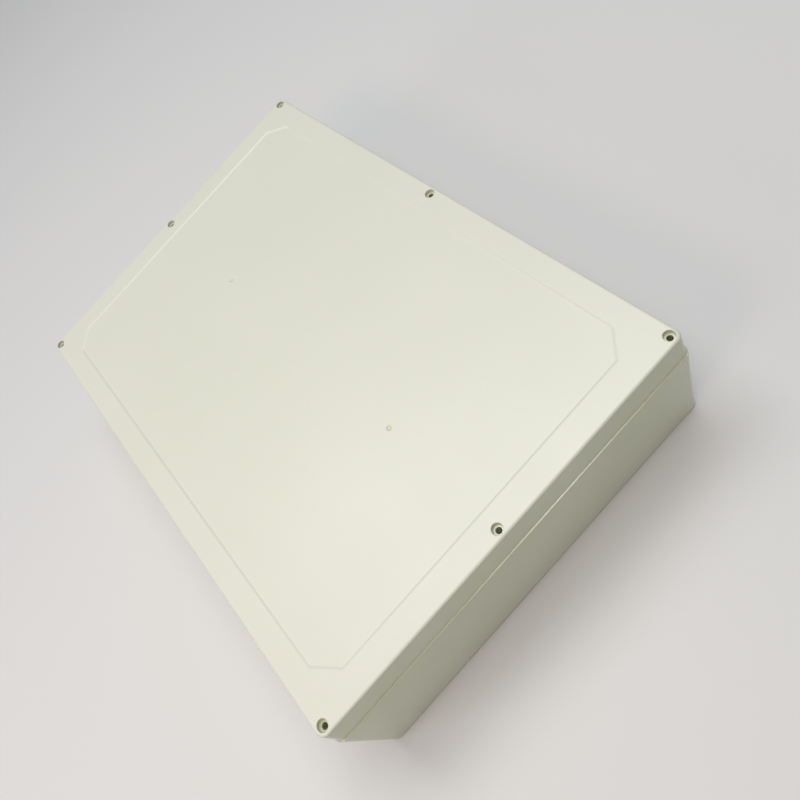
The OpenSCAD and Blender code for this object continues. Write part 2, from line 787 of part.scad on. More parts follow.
module hat_rail() {
    half = rail_w / 2;
    inner = half - rail_flange;
    color(steel) difference() {
        translate([rail_x, rail_y + rail_len / 2, plate_top]) rotate([90, 0, 0])
            linear_extrude(rail_len) polygon([
            [-half, rail_h], [-half, rail_h - rail_t], [-inner - rail_t, rail_h - rail_t],
                [-inner - rail_t, 0],
            [inner + rail_t, 0], [inner + rail_t, rail_h - rail_t], [half, rail_h - rail_t], [half,
                rail_h],
            [inner, rail_h], [inner, rail_t], [-inner, rail_t], [-inner, rail_h]]);
        for (s = signs) translate([rail_x, rail_y + s * (rail_len / 2 - rail_screw_inset), 0])
            cylinder(d = m4 + 0.5, h = case_h);
    }
}

// Foot that a piece on the rail needs: a slot over both flanges of the rail
module rail_slot(width) {
    slot = rail_t + 2 * side_gap;
    translate([-rail_w / 2 - side_gap, -width / 2 - 1, rail_top - rail_t - side_gap])
        cube([rail_w + 2 * side_gap, width + 2, slot]);
    translate([-rail_w / 2 + rail_flange - 2, -width / 2 - 1, 0])
        cube([rail_w - 2 * rail_flange + 4, width + 2, rail_top]);
}

module breaker_body() {
    half = breaker_len / 2;
    nose = breaker_nose_l / 2;
    top = breaker_nose_h;
    color("#e6e7e4") translate([rail_x, breaker_y, 0]) difference() {
        translate([0, breaker_w / 2, breaker_z]) rotate([90, 0, 0]) linear_extrude(breaker_w) polygon([
            [-half, 4], [-half + 3, 0], [half - 3, 0], [half, 4], [half, breaker_low_h], [nose + 2,
                breaker_low_h],
            [nose, breaker_low_h + 2], [nose, top], [-nose, top], [-nose, breaker_low_h + 2],
            [-nose - 2, breaker_low_h], [-half, breaker_low_h]]);
        rail_slot(breaker_w);
        translate([0, 0, toggle_z]) rotate([90, 0, 0]) {
            cylinder(r = toggle_r + free_gap, h = toggle_w + 2 * free_gap, center = true);
            cylinder(r = toggle_pin_r + turn_gap, h = toggle_w + 2 * toggle_pin_len + 1, center = true);
        }
        for (s = signs, y = breaker_hole_y) {
            translate([s * (half + 1), y, breaker_hole_z]) rotate([0, -s * 90, 0])
                cylinder(r = 3.2, h = 14);
            translate([s * (half - 8), y, breaker_z + breaker_low_h - 12]) cylinder(r = 3, h = 20);
        }
        translate([0, 0, breaker_z + breaker_low_h + 6]) block([breaker_nose_l + 2, 0.6, top]);
    }
}

module breaker_toggle() {
    color("#22262c") translate([rail_x, breaker_y, toggle_z]) rotate([90, -toggle_tilt, 0]) {
        cylinder(r = toggle_r, h = toggle_w, center = true);
        cylinder(r = toggle_pin_r, h = toggle_w + 2 * toggle_pin_len, center = true);
        translate([-2.5, 0, -toggle_w / 2]) cube([5, toggle_reach, toggle_w]);
    }
}

module rail_piece(width, length, height) {
    half = length / 2;
    difference() {
        translate([0, width / 2, block_z]) rotate([90, 0, 0]) linear_extrude(width) polygon([
            [-half, 4], [-half + 2, 0], [half - 2, 0], [half, 4], [half, height * 0.62], [half - 7,
                height * 0.62 + 3],
            [half - 9, height], [9 - half, height], [7 - half, height * 0.62 + 3], [-half,
                height * 0.62]]);
        rail_slot(width);
    }
}

module terminal_blocks() {
    for (i = [0:block_count - 1]) translate([rail_x, block_y0 + i * block_pitch, 0])
        color(i == 0 ? "#5b86b8" : (i == block_count - 1 ? "#6d9a3c" : "#9da1a4")) difference() {
            rail_piece(block_pitch - side_gap, block_l, block_h);
            for (s = signs) {
                translate([s * (block_l / 2 + 1), 0, block_hole_z]) rotate([0, -s * 90, 0])
                    cylinder(r = 2.1, h = 9);
                translate([s * (block_l / 2 - 13), 0, block_z + block_h - 7]) cylinder(r = 2, h = 9);
            }
        }
}

module end_stops() {
    gap = block_pitch / 2 + stop_w / 2 + side_gap;
    color("#8b8f92") for (y = [block_y0 - gap, block_y0 + (block_count - 1) * block_pitch + gap])
        translate([rail_x, y, 0]) difference() {
            rail_piece(stop_w, block_l - 2, stop_h);
            translate([0, 0, block_z + stop_h - 10]) cylinder(r = 2.4, h = 12);
        }
}

module earth_bar() {
    color(brass) translate([earth_x, earth_y, plate_top]) difference() {
        union() {
            translate([0, 0, earth_foot_h - earth_h / 2]) block([earth_w, earth_len, earth_h]);
            for (s = signs) translate([0, s * earth_foot_gap / 2, 0]) cylinder(r = 4, h = earth_foot_h);
        }
        for (s = signs) translate([0, s * earth_foot_gap / 2, -1])
            cylinder(r = m4 / 2 + thread_gap, h = earth_foot_h + earth_h);
        for (i = [0:earth_ways - 1]) translate([0, earth_way(i), earth_foot_h]) {
            rotate([0, 90, 0]) cylinder(r = 2, h = earth_w + 2, center = true);
            cylinder(r = 1.6, h = earth_h);
        }
    }
}

module toroid_core() {
    edge = toroid_h / 4;
    color("#b8742f") translate([toroid_x, toroid_y, toroid_z]) difference() {
        rotate_extrude($fn = 96) translate([(toroid_d / 2 + toroid_hole_r) / 2, toroid_h / 2])
            round_rect(toroid_d / 2 - toroid_hole_r, toroid_h, edge);
    }
}

module toroid_pads() {
    color(black) for (z = [plate_top, toroid_top]) translate([toroid_x, toroid_y, z])
        ring(toroid_d / 2 - 4, m4 + 1, toroid_pad_t);
}

module toroid_washer() {
    low = toroid_top + toroid_pad_t;
    r = toroid_d / 2 - 10;
    color(steel) translate([toroid_x, toroid_y, low]) rotate_extrude($fn = 96)
        polygon([[m4 + 0.5, 0], [r, 0], [r, 1.5], [toroid_hole_r, 3], [m4 + 0.5, 3]]);
}

module toroid_bolt() {
    seat = toroid_top + toroid_pad_t + 3;
    color(steel) translate([toroid_x, toroid_y, 0]) {
        translate([0, 0, seat]) hex(13, 5.3);
        translate([0, 0, plate_z - 4]) cylinder(r = m4, h = seat - plate_z + 4 + 1);
    }
}

module psu_tray() {
    color("#c3c6c8") translate([psu_x, psu_y, plate_top]) difference() {
        union() {
            block([psu_w, psu_l, psu_sheet]);
            for (s = signs) translate([s * (psu_w - psu_sheet) / 2, 0, 0])
                block([psu_sheet, psu_l, psu_h / 2]);
            translate([0, -(psu_l - psu_sheet) / 2, 0]) block([psu_w, psu_sheet, psu_h - psu_sheet]);
            for (p = psu_holes) translate([p[0] - psu_x, p[1] - psu_y, 0])
                cylinder(r = 4, h = psu_sheet + psu_board_lift);
        }
        for (p = psu_holes) translate([p[0] - psu_x, p[1] - psu_y, -1])
            cylinder(r = m3 / 2 + thread_gap, h = psu_h);
    }
}

module psu_cover() {
    out = psu_w + 2 * (psu_sheet + side_gap);
    nx = 8;
    ny = 12;
    pitch = 9.5;
    cover_l = psu_l - psu_end_open - psu_sheet - side_gap;
    color("#c3c6c8") translate([psu_x, psu_y, plate_top]) difference() {
        translate([0, -psu_end_open / 2 + psu_sheet / 2, 0]) difference() {
            translate([0, 0, side_gap]) block([out, cover_l, psu_h]);
            translate([0, 0, -1])
                block([psu_w + 2 * side_gap, cover_l + 2, psu_h + side_gap + 1 - psu_sheet]);
        }
        for (i = [0:nx - 1], j = [0:ny - 1])
            translate([(i - (nx - 1) / 2) * pitch, (j - (ny - 1) / 2) * pitch - psu_end_open / 2,
                psu_h - 5]) cylinder(r = 2.4, h = 10);
    }
}

// The supply's own board, with its transformer, choke and capacitors
module psu_board() {
    z = plate_top + psu_sheet + psu_board_lift;
    board_gap = psu_sheet + 1;
    tall = psu_h - psu_sheet - psu_board_lift - board_t - psu_sheet - 2;
    color("#b79a5a") translate([psu_x, psu_y, z]) difference() {
        union() {
            translate([0, 1, 0]) block([psu_w - 2 * board_gap, psu_l - 2 * board_gap, board_t]);
            translate([-18, 12, 0]) block([36, 32, tall]);
            translate([24, -8, 0]) cylinder(r = 13, h = tall);
            translate([24, 22, 0]) cylinder(r = 11, h = tall);
            translate([-17, -39, 0]) block([26, 20, tall * 0.8]);
            translate([14, -40, 0]) block([22, 18, tall * 0.6]);
        }
        for (p = psu_holes) translate([p[0] - psu_x, p[1] - psu_y, -1])
            cylinder(r = m3 / 2 + thread_gap, h = 4);
    }
}

module psu_terminals() {
    len = (psu_ways + 1) * psu_way_pitch;
    depth = psu_end_open - 2;
    color(black) translate([psu_x, psu_y + psu_l / 2 - psu_end_open / 2 - 1, psu_strip_z]) difference() {
        block([len, depth, psu_strip_h]);
        for (i = [0:psu_ways - 1]) translate([(i - (psu_ways - 1) / 2) * psu_way_pitch, 0, 0]) {
            translate([0, depth / 2 + 1, psu_strip_h / 3]) rotate([90, 0, 0]) cylinder(r = 2, h = 6);
            translate([0, -1, psu_strip_h - 5]) cylinder(r = 3, h = 6);
        }
    }
}

// ---- Control board ----

module control_board() {
    color("#1d6b3a") translate([board_x0, board_y0, board_z]) difference() {
        cube([board_l, board_w, board_t]);
        for (p = board_holes) translate([p[0], p[1], -1]) cylinder(d = m3 + 0.4, h = 4);
    }
}

module board_standoffs() {
    color(brass) for (p = board_holes) translate([board_x0 + p[0], board_y0 + p[1], plate_top])
        ring(standoff_r, m3 / 2 + thread_gap, standoff_h);
}

module screw_terminals() {
    len = terminal_ways * terminal_pitch;
    back = -terminal_depth / 2;
    color("#2f8f4e") for (p = terminal_points) translate(on_board(p)) rotate(p[2]) difference() {
        translate([0, len / 2, 0]) rotate([90, 0, 0]) linear_extrude(len) polygon([[back, 0], [-back, 0],
            [-back, terminal_h * 0.65], [-back - 2, terminal_h], [back + 1, terminal_h], [back,
                terminal_h - 1]]);
        for (i = [0:terminal_ways - 1])
            translate([0, (i - (terminal_ways - 1) / 2) * terminal_pitch, 0]) {
            translate([-back + 1, 0, terminal_hole_z]) rotate([0, -90, 0]) cylinder(r = 1.8, h = 7);
            translate([0, 0, terminal_h - 3]) cylinder(r = 1.7, h = 4);
        }
    }
}

module fuse_holders() {
    color("#d9d4c2") for (p = fuse_points) translate(on_board(p)) difference() {
        union() {
            block([9, fuse_len + 8, 3]);
            for (s = signs) translate([0, s * (fuse_len - fuse_cap) / 2, 0])
                block([7, 4, fuse_lift + fuse_r]);
        }
        translate([0, 0, fuse_lift]) rotate([90, 0, 0])
            cylinder(r = fuse_r + side_gap, h = fuse_len + 1, center = true);
        translate([0, 0, fuse_lift]) block([3.4, fuse_len, fuse_lift]);
    }
}

module fuses() {
    color("#dfe8ea") for (p = fuse_points) translate(on_board(p)) translate([0, 0, fuse_lift])
        rotate([90, 0, 0]) {
        cylinder(r = fuse_r - 0.2, h = fuse_len, center = true);
        for (s = signs) translate([0, 0, s * (fuse_len - fuse_cap) / 2])
            cylinder(r = fuse_r, h = fuse_cap, center = true);
    }
}

module reservoir_capacitors() {
    r = reservoir_d / 2;
    color("#27303c") for (p = reservoir_points) translate(on_board(p)) rotate_extrude()
        polygon([[0, 0], [r - 1, 0], [r, 1],
        [r, 3], [r - 0.8, 3.8], [r - 0.8, 5], [r, 5.8], [r, reservoir_h - 1], [r - 1, reservoir_h],
        [r - 3, reservoir_h], [r - 3, reservoir_h - 0.8], [0, reservoir_h - 0.8]]);
}

module heatsink() {
    pitch = (sink_h - sink_fin_t - 3) / (sink_fins - 1);
    color("#2b2d2f") translate(on_board([sink_u, sink_v])) difference() {
        union() {
            translate([sink_depth - sink_back, 0, 0]) cube([sink_back, sink_len, sink_h]);
            for (i = [0:sink_fins - 1]) translate([0, 0, 3 + i * pitch])
                cube([sink_depth - 1, sink_len, sink_fin_t]);
            for (y = [2, sink_len - 8]) translate([4, y, 0]) cube([sink_depth - 5, 6, 4]);
        }
        for (i = [0:transistor_count - 1])
            translate([sink_depth + 1, transistor_v(i), transistor_z - board_top + transistor_h - 4])
            rotate([0, -90, 0]) cylinder(r = m3 / 2 + thread_gap, h = sink_back + 2);
    }
}

module power_transistors() {
    color(black) for (i = [0:transistor_count - 1])
        translate(on_board([transistor_u, sink_v + transistor_v(i)])) difference() {
        union() {
            translate([0, -transistor_w / 2, transistor_z - board_top])
                cube([transistor_t, transistor_w, transistor_h]);
            for (k = [-1, 0, 1]) translate([transistor_t / 2, k * 5 - 0.6, 0])
                cube([0.8, 1.2, transistor_z - board_top + 1]);
        }
        translate([-1, 0, transistor_z - board_top + transistor_h - 4]) rotate([0, 90, 0])
            cylinder(d = m3 + 0.4, h = transistor_t + 2);
    }
}

module matching_inductors() {
    width = inductor_r - inductor_hole_r;
    color("#a5562a") for (p = inductor_points) translate(on_board(p)) rotate_extrude($fn = 64)
        translate([(inductor_r + inductor_hole_r) / 2, inductor_h / 2])
            round_rect(width, inductor_h, inductor_edge);
}

module tuning_capacitors() {
    color("#b0402c") for (i = [0:tuning_count - 1])
        translate(on_board([tuning_u, tuning_v0 + i * tuning_pitch]))
        translate([0, tuning_size[1] / 2, 0]) rotate([90, 0, 0]) linear_extrude(tuning_size[1])
            translate([0, tuning_size[2] / 2]) round_rect(tuning_size[0], tuning_size[2], 1.5);
}

module relays() {
    color("#2a5a9c") for (p = relay_points) translate(on_board(p)) difference() {
        block(relay_size);
        for (s = signs) translate([s * relay_size[0] / 2, 0, relay_size[2] - 2]) block([2, 5, 4]);
    }
}

module logic_chips() {
    color(black) for (c = chips) translate(on_board(c)) difference() {
        block([c[2], c[3], c[4]]);
        translate([c[2] / 2 - 2, c[3] / 2 - 2, c[4] - 0.2]) cylinder(r = 0.6, h = 1, $fn = 24);
    }
}

module receiver_shield() {
    color("#c8cbcc") translate(on_board(shield_at)) difference() {
        block(shield_size);
        translate([0, 0, -1])
            block([shield_size[0] - 2 * shield_t, shield_size[1] - 2 * shield_t,
            shield_size[2] - shield_t + 1]);
        for (i = [-3:3], j = [-2:2]) translate([i * 7, j * 8, 0]) cylinder(r = 1.2, h = 20, $fn = 24);
    }
}

module sounder() {
    color(black) translate(on_board(sounder_at)) rotate_extrude()
        polygon([[0, 0], [sounder_r, 0], [sounder_r, sounder_h - 1], [sounder_r - 1, sounder_h], [1.6,
            sounder_h], [1.6, 3], [0, 3]]);
}

module status_lights() {
    color("#4caf50") for (i = [0:light_count - 1])
        translate(on_board([light_u0 + i * light_pitch, light_v])) {
        cylinder(r = light_r + 0.4, h = 1.2);
        cylinder(r = light_r, h = light_h - light_r);
        translate([0, 0, light_h - light_r]) sphere(r = light_r);
    }
}

module knob_bases() {
    color("#3b3f44") for (p = knob_points) translate(on_board(p)) difference() {
        union() {
            block(knob_base_size);
            cylinder(r = knob_bush_r, h = knob_base_size[2] + knob_bush_h);
        }
        translate([0, 0, 2]) cylinder(r = knob_shaft_r + turn_gap, h = 20);
    }
}

module tuning_knob(i) {
    low = knob_base_size[2] + knob_bush_h + knob_lift;
    color(black) translate(on_board(knob_points[i])) difference() {
        union() {
            translate([0, 0, 2.5]) cylinder(r = knob_shaft_r, h = low);
            translate([0, 0, low]) rotate_extrude()
                polygon([[0, 0], [knob_d / 2, 0], [knob_d / 2, knob_h - 1],
                [knob_d / 2 - 1, knob_h], [0, knob_h]]);
        }
        for (k = [0:knob_grips - 1]) rotate(k * 360 / knob_grips)
            translate([knob_d / 2 + 0.4, 0, low + 2]) cylinder(r = 0.9, h = knob_h, $fn = 16);
        translate([0, -0.4, low + knob_h - 0.6]) cube([knob_d, 0.8, 2]);
    }
}

module switch_bases() {
    slot = mode_lever[0] + mode_travel + 2 * free_gap;
    color("#8d9194") translate(on_board(mode_at)) difference() {
        block(mode_size);
        translate([0, 0, mode_floor]) block([slot, mode_lever[1] + 2 * free_gap, mode_size[2]]);
    }
    color(black) translate(on_board(reset_at)) difference() {
        block([reset_size, reset_size, reset_h]);
        translate([0, 0, 1]) cylinder(r = reset_r + free_gap, h = reset_h);
    }
}

module mode_slider() {
    color(black) translate(on_board(mode_at)) translate([-mode_travel / 2, 0, mode_floor + free_gap])
        block([mode_lever[0], mode_lever[1], mode_size[2] - mode_floor + mode_lever[2]]);
}

module reset_button() {
    low = 1 + reset_travel + free_gap;
    color("#b3261e") translate(on_board(reset_at)) translate([0, 0, low]) rotate_extrude()
        polygon([[0, 0], [reset_r, 0],
        [reset_r, reset_cap_h - 0.6], [reset_r - 0.6, reset_cap_h], [0, reset_cap_h]]);
}

// ---- Tamper switch ----

module tamper_bracket() {
    back = tamper_body[1] / 2;
    color("#c9cccd") translate([tamper_x, tamper_y, plate_top]) difference() {
        union() {
            block([tamper_foot[0], tamper_foot[1], tamper_sheet]);
            translate([0, -back - tamper_sheet / 2, 0])
                block([tamper_body[0], tamper_sheet, tamper_body_z + tamper_body[2] - plate_top]);
        }
        for (s = signs) translate([s * tamper_hole_gap / 2, 0, -1])
            cylinder(r = m3 / 2 + thread_gap, h = 4);
    }
}

module tamper_switch() {
    color(black) translate([tamper_x, tamper_y, tamper_body_z]) difference() {
        block(tamper_body);
        translate([0, 0, tamper_body[2] - 4 - plunger_travel - free_gap])
            cylinder(r = tamper_stem_r + turn_gap, h = 20);
    }
}

module tamper_plunger() {
    color("#c8372d") translate([tamper_x, tamper_y, tamper_tip_z - tamper_stem]) rotate_extrude()
        polygon([[0, 0],
        [tamper_stem_r, 0], [tamper_stem_r, tamper_stem - 1], [tamper_stem_r - 1, tamper_stem], [0,
            tamper_stem]]);
}

// ---- Leads ----

module mains_leads() {
    for (i = [0:len(mains_routes) - 1])
        color(i < 2 ? "#7a4a2a" : (i < 4 ? "#2c5aa0" : "#8fae3a")) lead(mains_routes[i], lead_r);
}

module supply_leads() {
    for (i = [0:len(supply_routes) - 1]) color(i % 2 == 0 ? "#b3261e" : "#1c1c1c") lead(supply_routes[i],
        lead_r);
}

module signal_leads() {
    for (route = signal_routes) color("#d7d7d2") lead(route, signal_r);
}

module lead_saddles() {
    color("#d8d8d2") for (x = saddle_x) translate([x, signal_lane_y, plate_top]) difference() {
        block(saddle_size);
        for (s = signs) translate([0, s * signal_gap / 2, signal_lane_z - plate_top]) rotate([0, 90, 0])
            cylinder(r = signal_r + free_gap, h = saddle_size[0] + 2, center = true);
    }
}

base_shell();
lid();
lid_gasket();
lid_screws();
screw_washers();
screw_inserts();
gland_bodies();
gland_washers();
gland_locknuts();
gland_seals();
gland_nut(0);  // gland_nut_1
gland_nut(1);  // gland_nut_2
gland_nut(2);  // gland_nut_3
gland_nut(3);  // gland_nut_4
mounting_plate();
hat_rail();
breaker_body();
breaker_toggle();
terminal_blocks();
end_stops();
earth_bar();
toroid_core();
toroid_pads();
toroid_washer();
toroid_bolt();
psu_tray();
psu_cover();
psu_board();
psu_terminals();
control_board();
board_standoffs();
screw_terminals();
fuse_holders();
fuses();
reservoir_capacitors();
heatsink();
power_transistors();
matching_inductors();
tuning_capacitors();
relays();
logic_chips();
receiver_shield();
sounder();
status_lights();
knob_bases();
tuning_knob(0);  // tuning_knob_1
tuning_knob(1);  // tuning_knob_2
tuning_knob(2);  // tuning_knob_3
mode_slider();
reset_button();
tamper_bracket();
tamper_switch();
tamper_plunger();
m4_screws();
m3_screws();
switch_bases();
mains_leads();
supply_leads();
signal_leads();
lead_saddles();
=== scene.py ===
import json
import math
import bpy
import bmesh
from mathutils import Matrix, Vector
from mathutils.bvhtree import BVHTree


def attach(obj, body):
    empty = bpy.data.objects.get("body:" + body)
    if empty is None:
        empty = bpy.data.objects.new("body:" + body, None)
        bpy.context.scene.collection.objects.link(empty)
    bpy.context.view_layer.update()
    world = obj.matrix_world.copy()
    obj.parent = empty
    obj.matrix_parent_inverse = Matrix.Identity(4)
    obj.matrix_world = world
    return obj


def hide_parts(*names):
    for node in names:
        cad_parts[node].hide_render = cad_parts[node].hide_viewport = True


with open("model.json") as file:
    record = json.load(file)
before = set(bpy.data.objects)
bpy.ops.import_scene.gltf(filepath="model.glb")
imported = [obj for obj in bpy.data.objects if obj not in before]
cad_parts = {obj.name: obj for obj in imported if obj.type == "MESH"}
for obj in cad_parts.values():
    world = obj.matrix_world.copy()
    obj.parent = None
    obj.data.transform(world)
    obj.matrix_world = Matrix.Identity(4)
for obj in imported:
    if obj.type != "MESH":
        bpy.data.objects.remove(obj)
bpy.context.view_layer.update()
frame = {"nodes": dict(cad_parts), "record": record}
mm = 0.001
mergeWithin = 0.002 * mm    # points closer than this become one
cornerSteps = 11    # facets of each rounded corner, the same in every ring, so that rings can be skinned
print("frame loaded:", len(frame["nodes"]), "nodes")


# An sRGB hex colour as the linear values that Blender works in
def linear(hexColour, alpha=1.0):
    parts = [int(hexColour[i:i + 2], 16) / 255 for i in (1, 3, 5)]
    return tuple(p / 12.92 if p <= 0.04045 else ((p + 0.055) / 1.055) ** 2.4 for p in parts) + (alpha,)


def addNode(tree, kind, settings=None, links=None):
    node = tree.nodes.new(kind)
    for key, value in (settings or {}).items():
        if isinstance(key, str) and hasattr(node, key):
            setattr(node, key, value)
        else:
            node.inputs[key].default_value = value
    for key, source in (links or {}).items():
        tree.links.new(source, node.inputs[key])
    return node


def newMaterial(name, settings):
    material = bpy.data.materials.new(name)
    material.use_nodes = True
    tree = material.node_tree
    shader = tree.nodes["Principled BSDF"]
    for key, value in settings.items():
        shader.inputs[key].default_value = linear(value) if isinstance(value, str) else value
    material.diffuse_color = shader.inputs["Base Color"].default_value
    place = addNode(tree, "ShaderNodeTexCoord").outputs["Object"]
    return material, tree, shader, place


def meshObject(name, points, faces, materials=()):
    mesh = bpy.data.meshes.new(name)
    mesh.from_pydata([tuple(p) for p in points], [], faces)
    mesh.validate()
    piece = bpy.data.objects.new(name, mesh)
    bpy.context.scene.collection.objects.link(piece)
    for material in materials:
        mesh.materials.append(material)
    return piece


def outwards(mesh):
    work = bmesh.new()
    work.from_mesh(mesh)
    bmesh.ops.remove_doubles(work, verts=work.verts, dist=mergeWithin)
    bmesh.ops.recalc_face_normals(work, faces=work.faces)
    work.to_mesh(mesh)
    work.free()


# Skin over rings of equally many points in mm, its two ends closed
def skinned(name, rings):
    count = len(rings[0])
    points = [p for ring in rings for p in ring]
    faces = [list(range(count))[::-1], [(len(rings) - 1) * count + k for k in range(count)]]
    for i in range(len(rings) - 1):
        for k in range(count):
            n = (k + 1) % count
            faces.append([i * count + k, i * count + n, (i + 1) * count + n, (i + 1) * count + k])
    piece = meshObject(name, [tuple(v * mm for v in p) for p in points], faces)
    outwards(piece.data)
    return piece


def prism(name, outline, low, high):
    return skinned(name, [[(x, y, z) for x, y in outline] for z in (low, high)])


# Solid of revolution along Z from (radius, z) pairs
def turned(name, profile, at=(0, 0), sides=40):
    rings = []
    for radius, z in profile:
        ring = []
        for k in range(sides):
            a = 2 * math.pi * k / sides
            ring.append((at[0] + radius * math.cos(a), at[1] + radius * math.sin(a), z))
        rings.append(ring)
    return skinned(name, rings)


def joined(name, pieces):
    work = bmesh.new()
    for piece in pieces:
        work.from_mesh(piece.data)
        bpy.data.objects.remove(piece)
    mesh = bpy.data.meshes.new(name)
    work.to_mesh(mesh)
    work.free()
    whole = bpy.data.objects.new(name, mesh)
    bpy.context.scene.collection.objects.link(whole)
    return whole


def applied(piece):
    graph = bpy.context.evaluated_depsgraph_get()
    mesh = bpy.data.meshes.new_from_object(piece.evaluated_get(graph))
    piece.modifiers.clear()
    piece.data = mesh
    return piece


def combined(piece, tool, operation):
    step = piece.modifiers.new("combine", "BOOLEAN")
    step.operation = operation
    step.solver = "EXACT"
    step.object = tool
    applied(piece)
    bpy.data.objects.remove(tool)
    return piece


# Smooth where faces nearly line up, sharp elsewhere, flats kept flat
def shaded(piece, angle=32):
    for polygon in piece.data.polygons:
        polygon.use_smooth = True
    piece.data.set_sharp_from_angle(angle=math.radians(angle))
    weigh = piece.modifiers.new("weigh", "WEIGHTED_NORMAL")
    weigh.keep_sharp = True
    weigh.weight = 60
    return piece


def roundRing(halfX, halfY, radius, z):
    ring = []
    for quarter in range(4):
        cx = (halfX - radius) * (1 if quarter in (0, 3) else -1)
        cy = (halfY - radius) * (1 if quarter in (0, 1) else -1)
        for k in range(cornerSteps + 1):
            a = math.radians(90 * quarter + 90 * k / cornerSteps)
            ring.append((cx + radius * math.cos(a), cy + radius * math.sin(a), z))
    return ring


# The same number of points round a rectangle whose corners are cut at 45 degrees, each cut's ends rounded
def cutCornerRing(halfX, halfY, cut, radius, z):
    half = (cornerSteps + 1) // 2
    slide = radius * math.tan(math.radians(22.5))
    ring = []
    for quarter in range(4):
        sx = 1 if quarter in (0, 3) else -1
        sy = 1 if quarter in (0, 1) else -1
        for part in range(2):
            if part == quarter % 2:
                x, y = halfX - radius, halfY - cut - slide
            else:
                x, y = halfX - cut - slide, halfY - radius
            for k in range(half):
                a = math.radians(90 * quarter) + math.radians(45 * part + 45 * k / (half - 1))
                ring.append((sx * x + radius * math.cos(a), sy * y + radius * math.sin(a), z))
    return ring


finish = {}

# Injection-moulded ABS, ivory: colour drifts slowly, with patches wiped duller, over two kinds of mould face.
# The polished one shines, with a slow ripple in what it mirrors; it is coloured darker and more olive than
# the satin one, painted shade for the sides and the base. The spark-eroded one is satin: its grain of about
# 0.25 mm is drawn at 0.8 mm so that it shows
shellAbs = {
    # the glossy ABS's darker, more olive colour and tints are painted shade for the sides
    "mouldedAbsGloss": {"key": "gloss", "colour": "#cfd2b8", "tints": ("#c8cbae", "#d6d9c2"), "cloudMm": 110,
                        "rough": 0.16, "roughRange": (0.12, 0.22), "wipedMm": 30, "wipedDetail": 4.0,
                        "reliefMm": 45, "reliefDetail": 1.0, "reliefStrength": 0.25, "reliefDeepMm": 0.6},
    "sparkErodedAbs": {"key": "satin", "colour": "#dfe1d4", "tints": ("#dbdecf", "#e2e3d7"), "cloudMm": 160,
                       "rough": 0.36, "roughRange": (0.3, 0.42), "wipedMm": 50, "wipedDetail": 3.0,
                       "reliefMm": 0.8, "reliefDetail": 2.0, "reliefStrength": 0.12, "reliefDeepMm": 0.1},
}
for name, look in shellAbs.items():
    material, tree, shader, place = newMaterial(name, {"Base Color": look["colour"],
                                                       "Roughness": look["rough"], "IOR": 1.53,
                                                       "Subsurface Weight": 0.06, "Subsurface Scale": 2 * mm})
    cloud = addNode(tree, "ShaderNodeTexNoise", {"Scale": 1 / (look["cloudMm"] * mm), "Detail": 2.0},
                    {"Vector": place})
    tint = addNode(tree, "ShaderNodeValToRGB", links={"Fac": cloud.outputs["Fac"]})
    for stop, colour in zip(tint.color_ramp.elements, look["tints"]):
        stop.color = linear(colour)
    tree.links.new(tint.outputs["Color"], shader.inputs["Base Color"])
    wiped = addNode(tree, "ShaderNodeTexNoise", {"Scale": 1 / (look["wipedMm"] * mm),
                                                 "Detail": look["wipedDetail"]}, {"Vector": place})
    low, high = look["roughRange"]
    gloss = addNode(tree, "ShaderNodeMapRange", {"To Min": low, "To Max": high},
                    {"Value": wiped.outputs["Fac"]})
    tree.links.new(gloss.outputs["Result"], shader.inputs["Roughness"])
    relief = addNode(tree, "ShaderNodeTexNoise", {"Scale": 1 / (look["reliefMm"] * mm),
                                                  "Detail": look["reliefDetail"]}, {"Vector": place})
    bump = addNode(tree, "ShaderNodeBump", {"Strength": look["reliefStrength"],
                                            "Distance": look["reliefDeepMm"] * mm},
                   {"Height": relief.outputs["Fac"]})
    tree.links.new(bump.outputs["Normal"], shader.inputs["Normal"])
    finish[look["key"]] = material

# Plain moulded plastics: colour, roughness, grain in mm and the strength of its relief. Rubbed places are
# lighter and a little shinier or duller
plastics = {
    "greyPolyamide": ("#b7babb", 0.48, 0.5, 0.10),      # gland parts and saddles: dull, slightly waxy
    "thermosetPolyester": ("#d3d4ce", 0.42, 0.7, 0.10), # breaker case: hard, fine grain
    "blackPolyamide": ("#1d1e20", 0.42, 0.5, 0.12),     # switch bodies, levers, terminal strips
    "satinPolyamide": ("#8f9496", 0.50, 0.6, 0.10),     # end stops of the rail
    "greenPolyamide": ("#2b7f49", 0.38, 0.5, 0.08),     # board terminals: glass filled, light sheen
    "epoxyMoulding": ("#19191b", 0.55, 0.3, 0.16),      # chip and transistor bodies: matt, sandy
    "pottedPolyester": ("#9c3f27", 0.34, 0.9, 0.06),    # potted capacitors: brick red, slightly glossy
    "bluePolycarbonate": ("#2f63a0", 0.26, 1.2, 0.04),  # relay covers: glossy
    "darkNylon": ("#2b2d31", 0.46, 0.5, 0.12),          # knobs and button caps: soft sheen
    "phenolicPaper": ("#a98b50", 0.55, 1.5, 0.08),      # paper board of the supply
    "powderCoatedIron": ("#c8b23a", 0.4, 0.8, 0.10),    # powder-coated ring cores
    "sinteredCeramic": ("#a9865c", 0.5, 0.4, 0.10),     # chip capacitors: sintered, chalky tan
    "epdmRubber": ("#1b1c1e", 0.72, 0.6, 0.2),          # seals and washers: dull black
}
plasticWear = {"patchMm": 12, "lighter": 1.25, "lift": 0.004, "shinier": 0.06, "duller": 0.08, "deepMm": 0.1}
